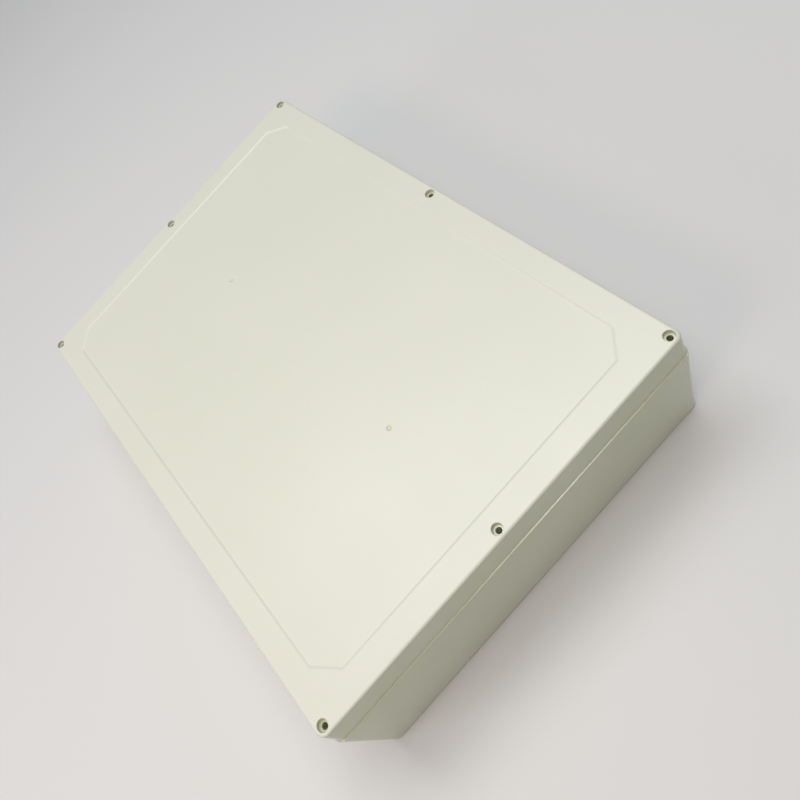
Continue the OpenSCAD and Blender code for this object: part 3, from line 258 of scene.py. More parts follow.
for name, (colour, rough, grainMm, strength) in plastics.items():
    material, tree, shader, place = newMaterial(name, {"Base Color": colour, "Roughness": rough, "IOR": 1.5})
    grain = addNode(tree, "ShaderNodeTexNoise", {"Scale": 1 / (grainMm * mm), "Detail": 3.0},
                    {"Vector": place})
    wear = addNode(tree, "ShaderNodeTexNoise", {"Scale": 1 / (plasticWear["patchMm"] * mm), "Detail": 4.0},
                   {"Vector": place})
    rubbed = [min(1, v * plasticWear["lighter"] + plasticWear["lift"]) for v in linear(colour)[:3]]
    shade = addNode(tree, "ShaderNodeMix", {"data_type": "RGBA", 6: linear(colour), 7: (*rubbed, 1)},
                    {0: wear.outputs["Fac"]})
    tree.links.new(shade.outputs[2], shader.inputs["Base Color"])
    gloss = addNode(tree, "ShaderNodeMapRange", {"To Min": rough - plasticWear["shinier"],
                                                 "To Max": rough + plasticWear["duller"]},
                    {"Value": wear.outputs["Fac"]})
    tree.links.new(gloss.outputs["Result"], shader.inputs["Roughness"])
    bump = addNode(tree, "ShaderNodeBump", {"Strength": strength, "Distance": plasticWear["deepMm"] * mm},
                   {"Height": grain.outputs["Fac"]})
    tree.links.new(bump.outputs["Normal"], shader.inputs["Normal"])
    finish[name] = material

# Metals: colour, roughness, and the grain's spacing along X, Y and Z in mm
metals = {
    "zincPlatedSteel": ("#b9bec2", 0.30, (1.5, 1.5, 1.5)),      # screws: bright, faintly clouded
    "turnedBrass": ("#b5914a", 0.26, (2.0, 2.0, 0.2)),          # inserts and spacers: rings from the lathe
    "blackAnodised": ("#232427", 0.42, (6.0, 6.0, 0.4)),        # extruded heatsink: fine draw lines
    "tinnedSteel": ("#a6abad", 0.34, (3.0, 3.0, 3.0)),          # shield can and fuse clips: soft grey shine
    "copperWire": ("#9c5a2c", 0.28, (1.0, 1.0, 1.0)),           # enamelled winding wire
    "solderTin": ("#bcc0c2", 0.25, (0.8, 0.8, 0.8)),            # chip ends: bright, slightly lumpy
    "canAluminium": ("#c5c8ca", 0.32, (2.0, 2.0, 2.0)),         # pressed capacitor tops
}
metalWear = {"shinier": 0.08, "duller": 0.12, "strength": 0.08, "deepMm": 0.1}
for name, (colour, rough, spacing) in metals.items():
    material, tree, shader, place = newMaterial(name, {"Base Color": colour, "Roughness": rough,
                                                       "Metallic": 1.0})
    density = tuple(1 / (s * mm) for s in spacing)
    spread = addNode(tree, "ShaderNodeMapping", {"Scale": density}, {"Vector": place})
    grain = addNode(tree, "ShaderNodeTexNoise", {"Scale": 1.0, "Detail": 3.0},
                    {"Vector": spread.outputs["Vector"]})
    gloss = addNode(tree, "ShaderNodeMapRange", {"To Min": rough - metalWear["shinier"],
                                                 "To Max": rough + metalWear["duller"]},
                    {"Value": grain.outputs["Fac"]})
    tree.links.new(gloss.outputs["Result"], shader.inputs["Roughness"])
    bump = addNode(tree, "ShaderNodeBump", {"Strength": metalWear["strength"],
                                            "Distance": metalWear["deepMm"] * mm},
                   {"Height": grain.outputs["Fac"]})
    tree.links.new(bump.outputs["Normal"], shader.inputs["Normal"])
    finish[name] = material

# Hot-dip galvanised sheet: crystal spangle, each crystal with its own shade and dullness
spangled = {"colour": "#a9aeb1", "tints": ("#9da2a6", "#b4b9bb"), "crystalMm": 9, "roughRange": (0.3, 0.5)}
material, tree, shader, place = newMaterial("galvanisedSheet", {"Base Color": spangled["colour"],
                                                                "Roughness": 0.4, "Metallic": 1.0})
spangle = addNode(tree, "ShaderNodeTexVoronoi", {"Scale": 1 / (spangled["crystalMm"] * mm)},
                  {"Vector": place})
level = addNode(tree, "ShaderNodeSeparateColor", links={"Color": spangle.outputs["Color"]})
low, high = spangled["roughRange"]
gloss = addNode(tree, "ShaderNodeMapRange", {"To Min": low, "To Max": high}, {"Value": level.outputs["Red"]})
tree.links.new(gloss.outputs["Result"], shader.inputs["Roughness"])
dark, pale = [linear(colour) for colour in spangled["tints"]]
shade = addNode(tree, "ShaderNodeMix", {"data_type": "RGBA", 6: dark, 7: pale}, {0: level.outputs["Green"]})
tree.links.new(shade.outputs[2], shader.inputs["Base Color"])
finish["galvanised"] = material
print("materials made:", len(finish))


# Sizes of the case in mm. "part" is the height of the parting line, "bead" how far the lid's lip stands out,
# "lidInset" and "baseOut" how far the lid's side is in from the half size and the base's side out from it
caseSize = {
    "halfX": 229.5, "halfY": 169.5, "corner": 6.4, "part": 93.0, "top": 120.0, "draft": 1.5,
    "wall": 3.4, "floor": 3.5, "roof": 3.0, "foot": 3.0, "baseOut": 0.35,
    "bead": 0.4, "beadHeight": 1.2, "beadSlope": 0.18, "lidInset": 0.5, "lidEdge": 2.0, "roofEdge": 1.2,
    "panelX": 207.5, "panelY": 147.5, "panelCut": 17.0, "panelRound": 1.6, "panelDepth": 0.8,
    "columnX": 222.0, "columnY": 162.0, "columnR": 8.0, "lidColumnR": 6.6,
    "mouthR": 4.0, "mouthDepth": 3.4, "flare": 0.3, "collarR": 2.2, "collarDeep": 1.6, "accessR": 2.9,
    "clearR": 1.7, "ledge": 6.0,
    "groove": 2.4, "grooveDepth": 4.0, "tongue": 1.6, "tongueHeight": 2.4,
    "gateMarks": (-104.5, 117.0), "gateBowl": ((0.02, -1.0), (0.9, -0.95), (1.6, -0.7), (2.1, -0.25),
                                               (2.4, 0.03), (2.4, 1.5)),
}
c = caseSize
past = 5    # how far a cutting tool runs on past what it cuts
lean = math.tan(math.radians(c["draft"]))
baseRun = c["part"] * lean
rim = baseRun + c["wall"]
cavityX, cavityY = c["halfX"] - rim, c["halfY"] - rim
screwSpots = [(sx * c["columnX"], sy * c["columnY"]) for sx in (-1, 1) for sy in (-1, 1)]
screwSpots += [(-c["columnX"], 0), (c["columnX"], 0), (0, c["columnY"])]


# Footprints of the screw columns, run out through the walls
def columnPads(radius, low, high):
    x, y, far = c["columnX"], c["columnY"], 30
    turnBy = 6
    corner = []
    for a in range(180, 271, turnBy):
        corner.append((x + radius * math.cos(math.radians(a)), y + radius * math.sin(math.radians(a))))
    corner += [(x + far, y - radius), (x + far, y + far), (x - radius, y + far)]
    pieces = []
    for sx in (-1, 1):
        for sy in (-1, 1):
            pieces.append(prism("pads", [(sx * px, sy * py) for px, py in corner], low, high))
    side = []
    for a in range(90, 271, turnBy):
        side.append((radius * math.cos(math.radians(a)), radius * math.sin(math.radians(a))))
    side += [(far, -radius), (far, radius)]
    for sx in (-1, 1):
        pieces.append(prism("pads", [(sx * (x + px), py) for px, py in side], low, high))
    pieces.append(prism("pads", [(py, y + px) for px, py in side], low, high))
    return joined("pads", pieces)


# The base's inside between two heights, "out" larger all round
def cavity(out, low, high):
    radius = c["corner"] - c["wall"] + 1 + out
    inner = skinned("cavity", [roundRing(cavityX + out, cavityY + out, radius, z) for z in (low, high)])
    return combined(inner, columnPads(c["columnR"] - out, low - past, high + past), "DIFFERENCE")


# A band that follows the rim, "inner" from the inside's edge
def rimLine(inner, width, low, high):
    return combined(cavity(inner + width, low, high), cavity(inner, low - 1, high + 1), "DIFFERENCE")


# The lid draws in from the parting line up
def sideInset(z):
    return (z - c["part"]) * lean


def buildLid():
    part, top, bead, edge = c["part"], c["top"], c["bead"], c["lidEdge"]
    lip = part + c["beadHeight"]
    ledgeTop = lip + c["beadSlope"]
    # Height and inset from the half size: the lip's two edges just broken, then the ledge above it
    outline = [(part, -bead + 0.02), (part + 0.04, -bead), (lip - 0.1, -bead), (lip, -bead + 0.07),
               (ledgeTop, c["lidInset"] + sideInset(ledgeTop))]
    run = c["lidInset"] + sideInset(top)
    for a in range(0, 91, 15):
        b = math.radians(a)
        outline.append((top - edge * (1 - math.sin(b)), run + edge * (1 - math.cos(b))))
    rings = [roundRing(c["halfX"] - i, c["halfY"] - i, c["corner"] - i * 0.5, z) for z, i in outline]
    # The panel's edge: how far it is outside the panel's size, and how deep
    for out, drop in ((1.0, 0.0), (0.7, 0.07), (0.05, 0.4), (-0.6, 0.73), (-0.9, c["panelDepth"])):
        rings.append(cutCornerRing(c["panelX"] + out, c["panelY"] + out, c["panelCut"], c["panelRound"] + out,
                                   top - drop))
    lid = skinned("caseLid", rings)

    innerX, innerY = c["halfX"] - run - c["wall"], c["halfY"] - run - c["wall"]
    under = top - c["roof"]
    radius = c["corner"] - c["wall"] + 1
    rings = [roundRing(innerX, innerY, radius, part - 1)]
    for a in range(0, 91, 30):
        drawIn = c["roofEdge"] * (1 - math.cos(math.radians(a)))
        drop = c["roofEdge"] * (1 - math.sin(math.radians(a)))
        rings.append(roundRing(innerX - drawIn, innerY - drawIn, radius - drawIn, under - drop))
    hollow = combined(skinned("hollow", rings), columnPads(c["lidColumnR"], part - past, top), "DIFFERENCE")
    combined(lid, hollow, "DIFFERENCE")
    tongue = rimLine((rim - c["tongue"]) / 2, c["tongue"], part - c["tongueHeight"], part + 1)
    combined(lid, tongue, "UNION")

    mouth, collar, access, flare = c["mouthR"], c["collarR"], c["accessR"], c["flare"]
    seat, mouthFloor = part + c["ledge"], top - c["mouthDepth"]
    # Stepped screw hole from below: clearance, the head's room, the collar that keeps the screw in, the mouth
    bore = [(c["clearR"], part - past), (c["clearR"], seat),
            (access, seat), (access, mouthFloor - c["collarDeep"] - 0.3),
            (collar, mouthFloor - c["collarDeep"]), (collar, mouthFloor - 0.15), (collar + 0.15, mouthFloor),
            (mouth - 0.5, mouthFloor), (mouth, mouthFloor + 0.5), (mouth, top - flare),
            (mouth + 0.09, top - 0.12), (mouth + flare, top + 0.02), (mouth + flare, top + 3)]
    tools = [turned("bore", bore, spot) for spot in screwSpots]
    bowl = [(r, top - c["panelDepth"] + z) for r, z in c["gateBowl"]]
    tools += [turned("gateMark", bowl, (x, 0)) for x in c["gateMarks"]]
    combined(lid, joined("bores", tools), "DIFFERENCE")
    return lid


lid = buildLid()
for material in (finish["gloss"], finish["satin"]):
    lid.data.materials.append(material)
# Upward faces of the top are satin; the sides and the lip are glossy, coloured darker as painted shade
satinFrom = 118.5 * mm
for polygon in lid.data.polygons:
    polygon.material_index = 1 if polygon.normal.z > 0.5 and polygon.center.z > satinFrom else 0
shaded(lid)
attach(lid, "lid")
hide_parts("lid")
print("lid made:", len(lid.data.polygons), "faces")

# What stands in the base and what is cut in it, in mm
baseSize = {
    "bosses": [(x, y) for x in (-181.665, 0, 181.665) for y in (-137.665, 137.665)],
    "bossR": 5, "bossHigh": 10, "bossBoreR": 2.05,
    "fixings": [(sx * 206.1, sy * 140.1) for sx in (-1, 1) for sy in (-1, 1)],
    "fixR": 3, "fixCollarR": 8, "fixCollarHigh": 8,
    "ribX": 184.66, "ribY": 58.266, "ribHigh": 5, "ribThick": 2,
    "padX": 229.1, "padHalfY": 130, "padHalfZ": 20, "padRound": 3,
    "insertR": 2.3, "insertDeep": 12,
    "glands": [(-110, 16), (-50, 20), (50, 20), (110, 16)], "glandZ": 46, "glandFit": 0.08,    # (y, thread)
}


def buildBase():
    s = baseSize
    foot, floorZ, part = c["foot"], c["floor"], c["part"]
    rings = []
    for a in range(0, 91, 15):
        b = math.radians(90 - a)
        inset = baseRun - c["baseOut"] + foot * (1 - math.cos(b))
        rings.append(roundRing(c["halfX"] - inset, c["halfY"] - inset,
                               c["corner"] - foot * (1 - math.cos(b)) / 2, foot * (1 - math.sin(b))))
    for drop, inset in ((0.04, 0.0), (0.0, 0.02)):
        out = c["baseOut"] - inset
        rings.append(roundRing(c["halfX"] + out, c["halfY"] + out, c["corner"], part - drop))
    base = skinned("caseBase", rings)
    combined(base, cavity(0, floorZ, c["top"]), "DIFFERENCE")

    standing = []
    r, tall = s["bossR"], floorZ + s["bossHigh"]
    boss = [(r + 0.6, floorZ - 1), (r + 0.6, floorZ + 0.1), (r, floorZ + 0.9), (r, tall - 0.4),
            (r - 0.4, tall)]
    standing += [turned("boss", boss, spot) for spot in s["bosses"]]
    r, tall = s["fixCollarR"], floorZ + s["fixCollarHigh"]
    collar = [(r + 0.8, floorZ - 1), (r + 0.8, floorZ + 0.1), (r, floorZ + 1), (r, tall - 0.6),
              (r - 0.6, tall)]
    standing += [turned("collar", collar, spot) for spot in s["fixings"]]
    half = s["ribThick"] / 2
    for y in (-s["ribY"], s["ribY"]):
        rib = [(-s["ribX"], y - half), (s["ribX"], y - half), (s["ribX"], y + half), (-s["ribX"], y + half)]
        standing.append(prism("rib", rib, floorZ - 1, floorZ + s["ribHigh"]))
    combined(base, joined("inside", standing), "UNION")

    # The upright pad that the glands seat on
    face = []
    for a in range(0, 91, 15):
        b = math.radians(a)
        face.append((s["padHalfY"] - s["padRound"] * (1 - math.cos(b)),
                     s["padHalfZ"] - s["padRound"] * (1 - math.sin(b))))
    face += [(-y, z) for y, z in face[::-1]]
    face += [(y, -z) for y, z in face[::-1]]
    rings = []
    padX, padZ = s["padX"], s["glandZ"]
    for x, inset in ((-c["halfX"] + rim, 0), (-padX + 0.3, 0), (-padX + 0.09, 0.09), (-padX, 0.3)):
        rings.append([(x, y - math.copysign(inset, y), padZ + z - math.copysign(inset, z)) for y, z in face])
    combined(base, skinned("glandPad", rings), "UNION")
    groove = rimLine((rim - c["groove"]) / 2, c["groove"], part - c["grooveDepth"], part + 2)
    combined(base, groove, "DIFFERENCE")

    r = s["insertR"]
    insertHole = [(r, part - s["insertDeep"]), (r, part - 0.4), (r + 0.4, part + 0.02), (r + 0.4, part + 3)]
    cuts = [turned("insertHole", insertHole, spot) for spot in screwSpots]
    r, tall = s["fixR"], floorZ + s["fixCollarHigh"]
    fixHole = [(r + 0.4, -2), (r + 0.4, 0), (r, 0.4), (r, tall - 0.4), (r + 0.4, tall), (r + 0.4, tall + 3.5)]
    cuts += [turned("fixHole", fixHole, spot) for spot in s["fixings"]]
    r = s["bossBoreR"]
    bossHole = [(r, floorZ + 1), (r, floorZ + s["bossHigh"] + 2)]
    cuts += [turned("bossHole", bossHole, spot) for spot in s["bosses"]]
    startX, throughWall = -245, 30
    for y, thread in s["glands"]:
        r = thread / 2 + s["glandFit"]
        hole = turned("glandHole", [(r, 0), (r, throughWall)])
        for vertex in hole.data.vertices:
            p = vertex.co
            vertex.co = (startX * mm + p.z, y * mm + p.y, s["glandZ"] * mm - p.x)
        cuts.append(hole)
    combined(base, joined("holes", cuts), "DIFFERENCE")
    return base


base = buildBase()
# the base takes the glossy ABS, whose darker colour is painted shade on its sides
base.data.materials.append(finish["gloss"])
shaded(base)
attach(base, "case")
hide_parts("base_shell")
print("base made:", len(base.data.polygons), "faces")

# Where some of the fitted parts stand, and their sizes, in mm
board = {"x": 11.6647, "y": -130.0, "top": 25.1}    # the board's own corner and its upper face
rail = {"x": -154.665, "breakerY": -99.6647, "breakerScrew": (36, 8.9, 55.4)}
blockRow = {"first": -67.9, "pitch": 6.2, "count": 8, "screwX": 8, "screwZ": 54.0}    # terminals on the rail
supplyStrip = {"x": -51, "y": 13.3, "z": 33.7, "pitch": 10, "count": 7}
earthBar = {"x": -58, "y": 97.665, "z": 32.9, "pitch": 8, "count": 5}
boardBlocks = {"places": ((165, 30), (165, 54), (165, 78), (165, 102), (165, 156), (165, 180), (7, 172)),
               "pitch": 5, "ways": 4, "screwUp": 12.1}    # places from the board's corner
lampRow = {"first": 109.6647, "pitch": 7.5, "count": 6, "colours": ("#3fae4a", "#d9a22c", "#c8362c")}
winding = {"wire": 1.2, "turns": 30, "sweep": 330, "corner": 3.4,    # wire in mm, sweep in degrees
           "coreIn": 7, "coreOut": 21, "coreTall": 18, "u": 78, "v": (168, 216)}
canRow = {"x": 40.6647, "y": -101, "pitch": 34, "topR": 12.4}
canMiddles = []
for i in (0, 1):
    for j in (0, 1):
        canMiddles.append((canRow["x"] + canRow["pitch"] * i, canRow["y"] + canRow["pitch"] * j))
fuseRow = {"y": -30, "capAt": 7.5, "capHalf": 2.6}

# Fitted parts are copies of the CAD meshes, merged, with their edges just broken
fitted = {    # node: (finish, edge in mm)
    "lid_gasket": ("epdmRubber", 0.2), "lid_screws": ("zincPlatedSteel", 0.1),
    "screw_washers": ("epdmRubber", 0), "screw_inserts": ("turnedBrass", 0.1),
    "gland_bodies": ("greyPolyamide", 0.3), "gland_washers": ("epdmRubber", 0.2),
    "gland_locknuts": ("greyPolyamide", 0.3), "gland_seals": ("epdmRubber", 0.3),
    "gland_nut_1": ("greyPolyamide", 0.4), "gland_nut_2": ("greyPolyamide", 0.4),
    "gland_nut_3": ("greyPolyamide", 0.4), "gland_nut_4": ("greyPolyamide", 0.4),
    "mounting_plate": ("galvanised", 0.2), "m4_screws": ("zincPlatedSteel", 0.1),
    "m3_screws": ("zincPlatedSteel", 0.1), "hat_rail": ("galvanised", 0.15),
    "breaker_body": ("thermosetPolyester", 0.4), "breaker_toggle": ("blackPolyamide", 0.5),
    "terminal_blocks": ("terminalPolyamide", 0.25), "end_stops": ("satinPolyamide", 0.3),
    "earth_bar": ("turnedBrass", 0.25),
    "toroid_core": ("filmTape", 0), "toroid_pads": ("epdmRubber", 0.3),
    "toroid_washer": ("galvanised", 0.3), "toroid_bolt": ("zincPlatedSteel", 0.3),
    "psu_tray": ("galvanised", 0.2), "psu_cover": ("galvanised", 0.2),
    "psu_board": ("phenolicPaper", 0.3), "psu_terminals": ("blackPolyamide", 0.2),
    "control_board": ("solderMask", 0.1), "board_standoffs": ("turnedBrass", 0.15),
    "screw_terminals": ("greenPolyamide", 0.2), "fuse_holders": ("tinnedSteel", 0.1),
    "fuses": ("fuseGlass", 0.2), "reservoir_capacitors": ("canSleeve", 0.5),
    "heatsink": ("blackAnodised", 0.2), "power_transistors": ("epoxyMoulding", 0.2),
    "matching_inductors": ("powderCoatedIron", 0), "tuning_capacitors": ("pottedPolyester", 0.5),
    "relays": ("bluePolycarbonate", 0.5), "logic_chips": ("epoxyMoulding", 0.15),
    "receiver_shield": ("tinnedSteel", 0.15), "sounder": ("blackPolyamide", 0.4),
    "status_lights": ("lens", 0), "knob_bases": ("blackPolyamide", 0.3),
    "tuning_knob_1": ("darkNylon", 0.2), "tuning_knob_2": ("darkNylon", 0.2),
    "tuning_knob_3": ("darkNylon", 0.2), "switch_bases": ("blackPolyamide", 0.2),
    "mode_slider": ("darkNylon", 0.2), "reset_button": ("darkNylon", 0.4),
    "tamper_bracket": ("galvanised", 0.2), "tamper_switch": ("blackPolyamide", 0.4),
    "tamper_plunger": ("darkNylon", 0.4),
    "mains_leads": ("leadBrown", 0), "supply_leads": ("leadRed", 0), "signal_leads": ("leadWhite", 0),
    "lead_saddles": ("greyPolyamide", 0.3),
}

# Polyester film tape over the transformer's windings: honey-coloured, glossy, a dark line at each overlap
# and fine creases. The tape leans, so that an overlap moves on with the height
filmTape = {"x": -128.665, "y": 92.665, "overlaps": 52, "leanPerMetre": 12.5,
            "edge": "#7d5318", "flat": "#c79a3f", "lineShare": 0.14,
            "creaseMm": 4, "creaseHigh": 0.4, "deepMm": 0.2}
material, tree, shader, place = newMaterial("polyesterFilmTape", {"Base Color": "#b98a32", "Roughness": 0.24,
                                                                  "IOR": 1.6})
centred = addNode(tree, "ShaderNodeMapping", {"Location": (-filmTape["x"] * mm, -filmTape["y"] * mm, 0)},
                  {"Vector": place})
axes = addNode(tree, "ShaderNodeSeparateXYZ", links={"Vector": centred.outputs["Vector"]})
around = addNode(tree, "ShaderNodeMath", {"operation": "ARCTAN2"},
                 {0: axes.outputs["Y"], 1: axes.outputs["X"]})
leaning = addNode(tree, "ShaderNodeMath", {"operation": "MULTIPLY_ADD", 1: filmTape["leanPerMetre"]},
                  {0: axes.outputs["Z"], 2: around.outputs[0]})
turns = addNode(tree, "ShaderNodeMath", {"operation": "MULTIPLY", 1: filmTape["overlaps"] / (2 * math.pi)},
                {0: leaning.outputs[0]})
layer = addNode(tree, "ShaderNodeMath", {"operation": "FRACT"}, {0: turns.outputs[0]})
shade = addNode(tree, "ShaderNodeValToRGB", links={"Fac": layer.outputs[0]})
shade.color_ramp.elements[0].color = linear(filmTape["edge"])
shade.color_ramp.elements[1].color = linear(filmTape["flat"])
shade.color_ramp.elements[1].position = filmTape["lineShare"]
tree.links.new(shade.outputs["Color"], shader.inputs["Base Color"])
crease = addNode(tree, "ShaderNodeTexNoise", {"Scale": 1 / (filmTape["creaseMm"] * mm), "Detail": 3.0},
                 {"Vector": place})
height = addNode(tree, "ShaderNodeMath", {"operation": "MULTIPLY_ADD", 1: filmTape["creaseHigh"]},
                 {0: crease.outputs["Fac"], 2: layer.outputs[0]})
bump = addNode(tree, "ShaderNodeBump", {"Strength": 0.5, "Distance": filmTape["deepMm"] * mm},
               {"Height": height.outputs[0]})
tree.links.new(bump.outputs["Normal"], shader.inputs["Normal"])
finish["filmTape"] = material

# Solder mask over etched copper on glass-epoxy board: tracks stand proud and lighter, in blocks that run
# one way or the other, with plain green between; 0.6 mm tracks are drawn at 0.9 mm so that they show
tracks = {"pitchMm": 1.8, "blockMm": 16, "blockLoose": 0.7, "trackShare": 0.5, "bareShare": 0.3,
          "plain": "#0f4527", "raised": "#1f6b3d", "deepMm": 0.1}
material, tree, shader, place = newMaterial("solderMask", {"Base Color": "#10492a", "Roughness": 0.3,
                                                           "IOR": 1.5})
axes = addNode(tree, "ShaderNodeSeparateXYZ", links={"Vector": place})
blocks = addNode(tree, "ShaderNodeTexVoronoi", {"distance": "CHEBYCHEV", "Randomness": tracks["blockLoose"],
                                                "Scale": 1 / (tracks["blockMm"] * mm)}, {"Vector": place})
kind = addNode(tree, "ShaderNodeSeparateColor", links={"Color": blocks.outputs["Color"]})
across = addNode(tree, "ShaderNodeMath", {"operation": "GREATER_THAN", 1: 0.5}, {0: kind.outputs["Red"]})
run = addNode(tree, "ShaderNodeMix", {}, {0: across.outputs[0], 2: axes.outputs["X"], 3: axes.outputs["Y"]})
count = addNode(tree, "ShaderNodeMath", {"operation": "DIVIDE", 1: tracks["pitchMm"] * mm},
                {0: run.outputs[0]})
step = addNode(tree, "ShaderNodeMath", {"operation": "FRACT"}, {0: count.outputs[0]})
line = addNode(tree, "ShaderNodeMath", {"operation": "LESS_THAN", 1: tracks["trackShare"]},
               {0: step.outputs[0]})
routed = addNode(tree, "ShaderNodeMath", {"operation": "GREATER_THAN", 1: tracks["bareShare"]},
                 {0: kind.outputs["Green"]})
copper = addNode(tree, "ShaderNodeMath", {"operation": "MULTIPLY"},
                 {0: line.outputs[0], 1: routed.outputs[0]})
shade = addNode(tree, "ShaderNodeMix", {"data_type": "RGBA", 6: linear(tracks["plain"]),
                                        7: linear(tracks["raised"])}, {0: copper.outputs[0]})
tree.links.new(shade.outputs[2], shader.inputs["Base Color"])
bump = addNode(tree, "ShaderNodeBump", {"Strength": 0.35, "Distance": tracks["deepMm"] * mm},
               {"Height": copper.outputs[0]})
tree.links.new(bump.outputs["Normal"], shader.inputs["Normal"])
finish["solderMask"] = material

# Moulded rail terminals: satin, the first blue for neutral, the last green for earth, the rest grey
blockShades = {"neutral": "#2d62a8", "line": "#8f9496", "earth": "#4f8f3d", "grainMm": 0.6}
material, tree, shader, place = newMaterial("terminalPolyamide", {"Base Color": blockShades["line"],
                                                                  "Roughness": 0.5, "IOR": 1.5})
axes = addNode(tree, "ShaderNodeSeparateXYZ", links={"Vector": place})
low = (blockRow["first"] - blockRow["pitch"] / 2) * mm
along = addNode(tree, "ShaderNodeMapRange", {"From Min": low, "From Max": low + blockRow["pitch"] * mm *
                                             blockRow["count"]}, {"Value": axes.outputs["Y"]})
shade = addNode(tree, "ShaderNodeValToRGB", links={"Fac": along.outputs["Result"]})
ramp = shade.color_ramp
ramp.interpolation = "CONSTANT"
ramp.elements[0].color = linear(blockShades["neutral"])
ramp.elements[1].color = linear(blockShades["line"])
ramp.elements[1].position = 1 / blockRow["count"]
ramp.elements.new(1 - 1 / blockRow["count"]).color = linear(blockShades["earth"])
tree.links.new(shade.outputs["Color"], shader.inputs["Base Color"])
grain = addNode(tree, "ShaderNodeTexNoise", {"Scale": 1 / (blockShades["grainMm"] * mm), "Detail": 2.0},
                {"Vector": place})
gloss = addNode(tree, "ShaderNodeMapRange", {"To Min": 0.44, "To Max": 0.56}, {"Value": grain.outputs["Fac"]})
tree.links.new(gloss.outputs["Result"], shader.inputs["Roughness"])
bump = addNode(tree, "ShaderNodeBump", {"Strength": 0.1, "Distance": 0.1 * mm},
               {"Height": grain.outputs["Fac"]})
tree.links.new(bump.outputs["Normal"], shader.inputs["Normal"])
finish["terminalPolyamide"] = material

# Diffused epoxy lamps: cloudy inside, glossy outside, two of each colour along the row
material, tree, shader, place = newMaterial("diffusedEpoxyLens", {"Base Color": lampRow["colours"][0],
                                                                  "Roughness": 0.16, "IOR": 1.5,
                                                                  "Subsurface Weight": 0.3,
                                                                  "Subsurface Scale": 2 * mm})
axes = addNode(tree, "ShaderNodeSeparateXYZ", links={"Vector": place})
low = (lampRow["first"] - lampRow["pitch"] / 2) * mm
along = addNode(tree, "ShaderNodeMapRange", {"From Min": low, "From Max": low + lampRow["pitch"] * mm *
                                             lampRow["count"]}, {"Value": axes.outputs["X"]})
shade = addNode(tree, "ShaderNodeValToRGB", links={"Fac": along.outputs["Result"]})
ramp = shade.color_ramp
ramp.interpolation = "CONSTANT"
share = 1 / len(lampRow["colours"])
ramp.elements[0].color = linear(lampRow["colours"][0])
ramp.elements[1].position = share
ramp.elements[1].color = linear(lampRow["colours"][1])
ramp.elements.new(2 * share).color = linear(lampRow["colours"][2])
tree.links.new(shade.outputs["Color"], shader.inputs["Base Color"])
milk = addNode(tree, "ShaderNodeTexNoise", {"Scale": 1 / (2 * mm), "Detail": 2.0}, {"Vector": place})
gloss = addNode(tree, "ShaderNodeMapRange", {"To Min": 0.12, "To Max": 0.22}, {"Value": milk.outputs["Fac"]})
tree.links.new(gloss.outputs["Result"], shader.inputs["Roughness"])
finish["lens"] = material

# Drawn glass tube of the fuses: clear, a faint smoky film inside
material, tree, shader, place = newMaterial("drawnGlass", {"Base Color": "#dfe7e6", "Roughness": 0.05,
                                                           "IOR": 1.52, "Transmission Weight": 0.75})
film = addNode(tree, "ShaderNodeTexNoise", {"Scale": 1 / (5 * mm), "Detail": 2.0}, {"Vector": place})
gloss = addNode(tree, "ShaderNodeMapRange", {"To Min": 0.03, "To Max": 0.14}, {"Value": film.outputs["Fac"]})
tree.links.new(gloss.outputs["Result"], shader.inputs["Roughness"])
finish["fuseGlass"] = material

# Shrunk PVC sleeve of the capacitors: dark blue, glossy, drawn tight with slow ripples up the can
sleeve = {"colour": "#1c2744", "rippleAcrossMm": 5, "rippleUpMm": 30, "deepMm": 0.3}
material, tree, shader, place = newMaterial("shrunkPvcSleeve", {"Base Color": sleeve["colour"],
                                                                "Roughness": 0.26, "IOR": 1.53})
fine, slow = 1 / (sleeve["rippleAcrossMm"] * mm), 1 / (sleeve["rippleUpMm"] * mm)
drawn = addNode(tree, "ShaderNodeMapping", {"Scale": (fine, fine, slow)}, {"Vector": place})
ripple = addNode(tree, "ShaderNodeTexNoise", {"Scale": 1.0, "Detail": 2.0},
                 {"Vector": drawn.outputs["Vector"]})
gloss = addNode(tree, "ShaderNodeMapRange", {"To Min": 0.2, "To Max": 0.36}, {"Value": ripple.outputs["Fac"]})
tree.links.new(gloss.outputs["Result"], shader.inputs["Roughness"])
bump = addNode(tree, "ShaderNodeBump", {"Strength": 0.3, "Distance": sleeve["deepMm"] * mm},
               {"Height": ripple.outputs["Fac"]})
tree.links.new(bump.outputs["Normal"], shader.inputs["Normal"])
finish["canSleeve"] = material

# Extruded PVC lead insulation: even colour with a soft sheen, scuffed a little duller in places
leadColours = {"leadBrown": "#6a3f22", "leadBlue": "#274f92", "leadGreen": "#3f8a3a", "leadYellow": "#d3b72c",
               "leadRed": "#a3231b", "leadBlack": "#161617", "leadWhite": "#cfcfc9", "leadOrange": "#c8641f",
               "leadGrey": "#85888a"}
leadScuff = {"patchMm": 9, "roughRange": (0.3, 0.46), "deepMm": 0.2}
for name, colour in leadColours.items():
    material, tree, shader, place = newMaterial(name.replace("lead", "extrudedPvc"),
                                                {"Base Color": colour, "Roughness": 0.38, "IOR": 1.53})
    scuff = addNode(tree, "ShaderNodeTexNoise", {"Scale": 1 / (leadScuff["patchMm"] * mm), "Detail": 3.0},
                    {"Vector": place})
    low, high = leadScuff["roughRange"]
    gloss = addNode(tree, "ShaderNodeMapRange", {"To Min": low, "To Max": high},
                    {"Value": scuff.outputs["Fac"]})
    tree.links.new(gloss.outputs["Result"], shader.inputs["Roughness"])
    bump = addNode(tree, "ShaderNodeBump", {"Strength": 0.1, "Distance": leadScuff["deepMm"] * mm},
                   {"Height": scuff.outputs["Fac"]})
    tree.links.new(bump.outputs["Normal"], shader.inputs["Normal"])
    finish[name] = material
print("board and lead materials made:", len(finish))

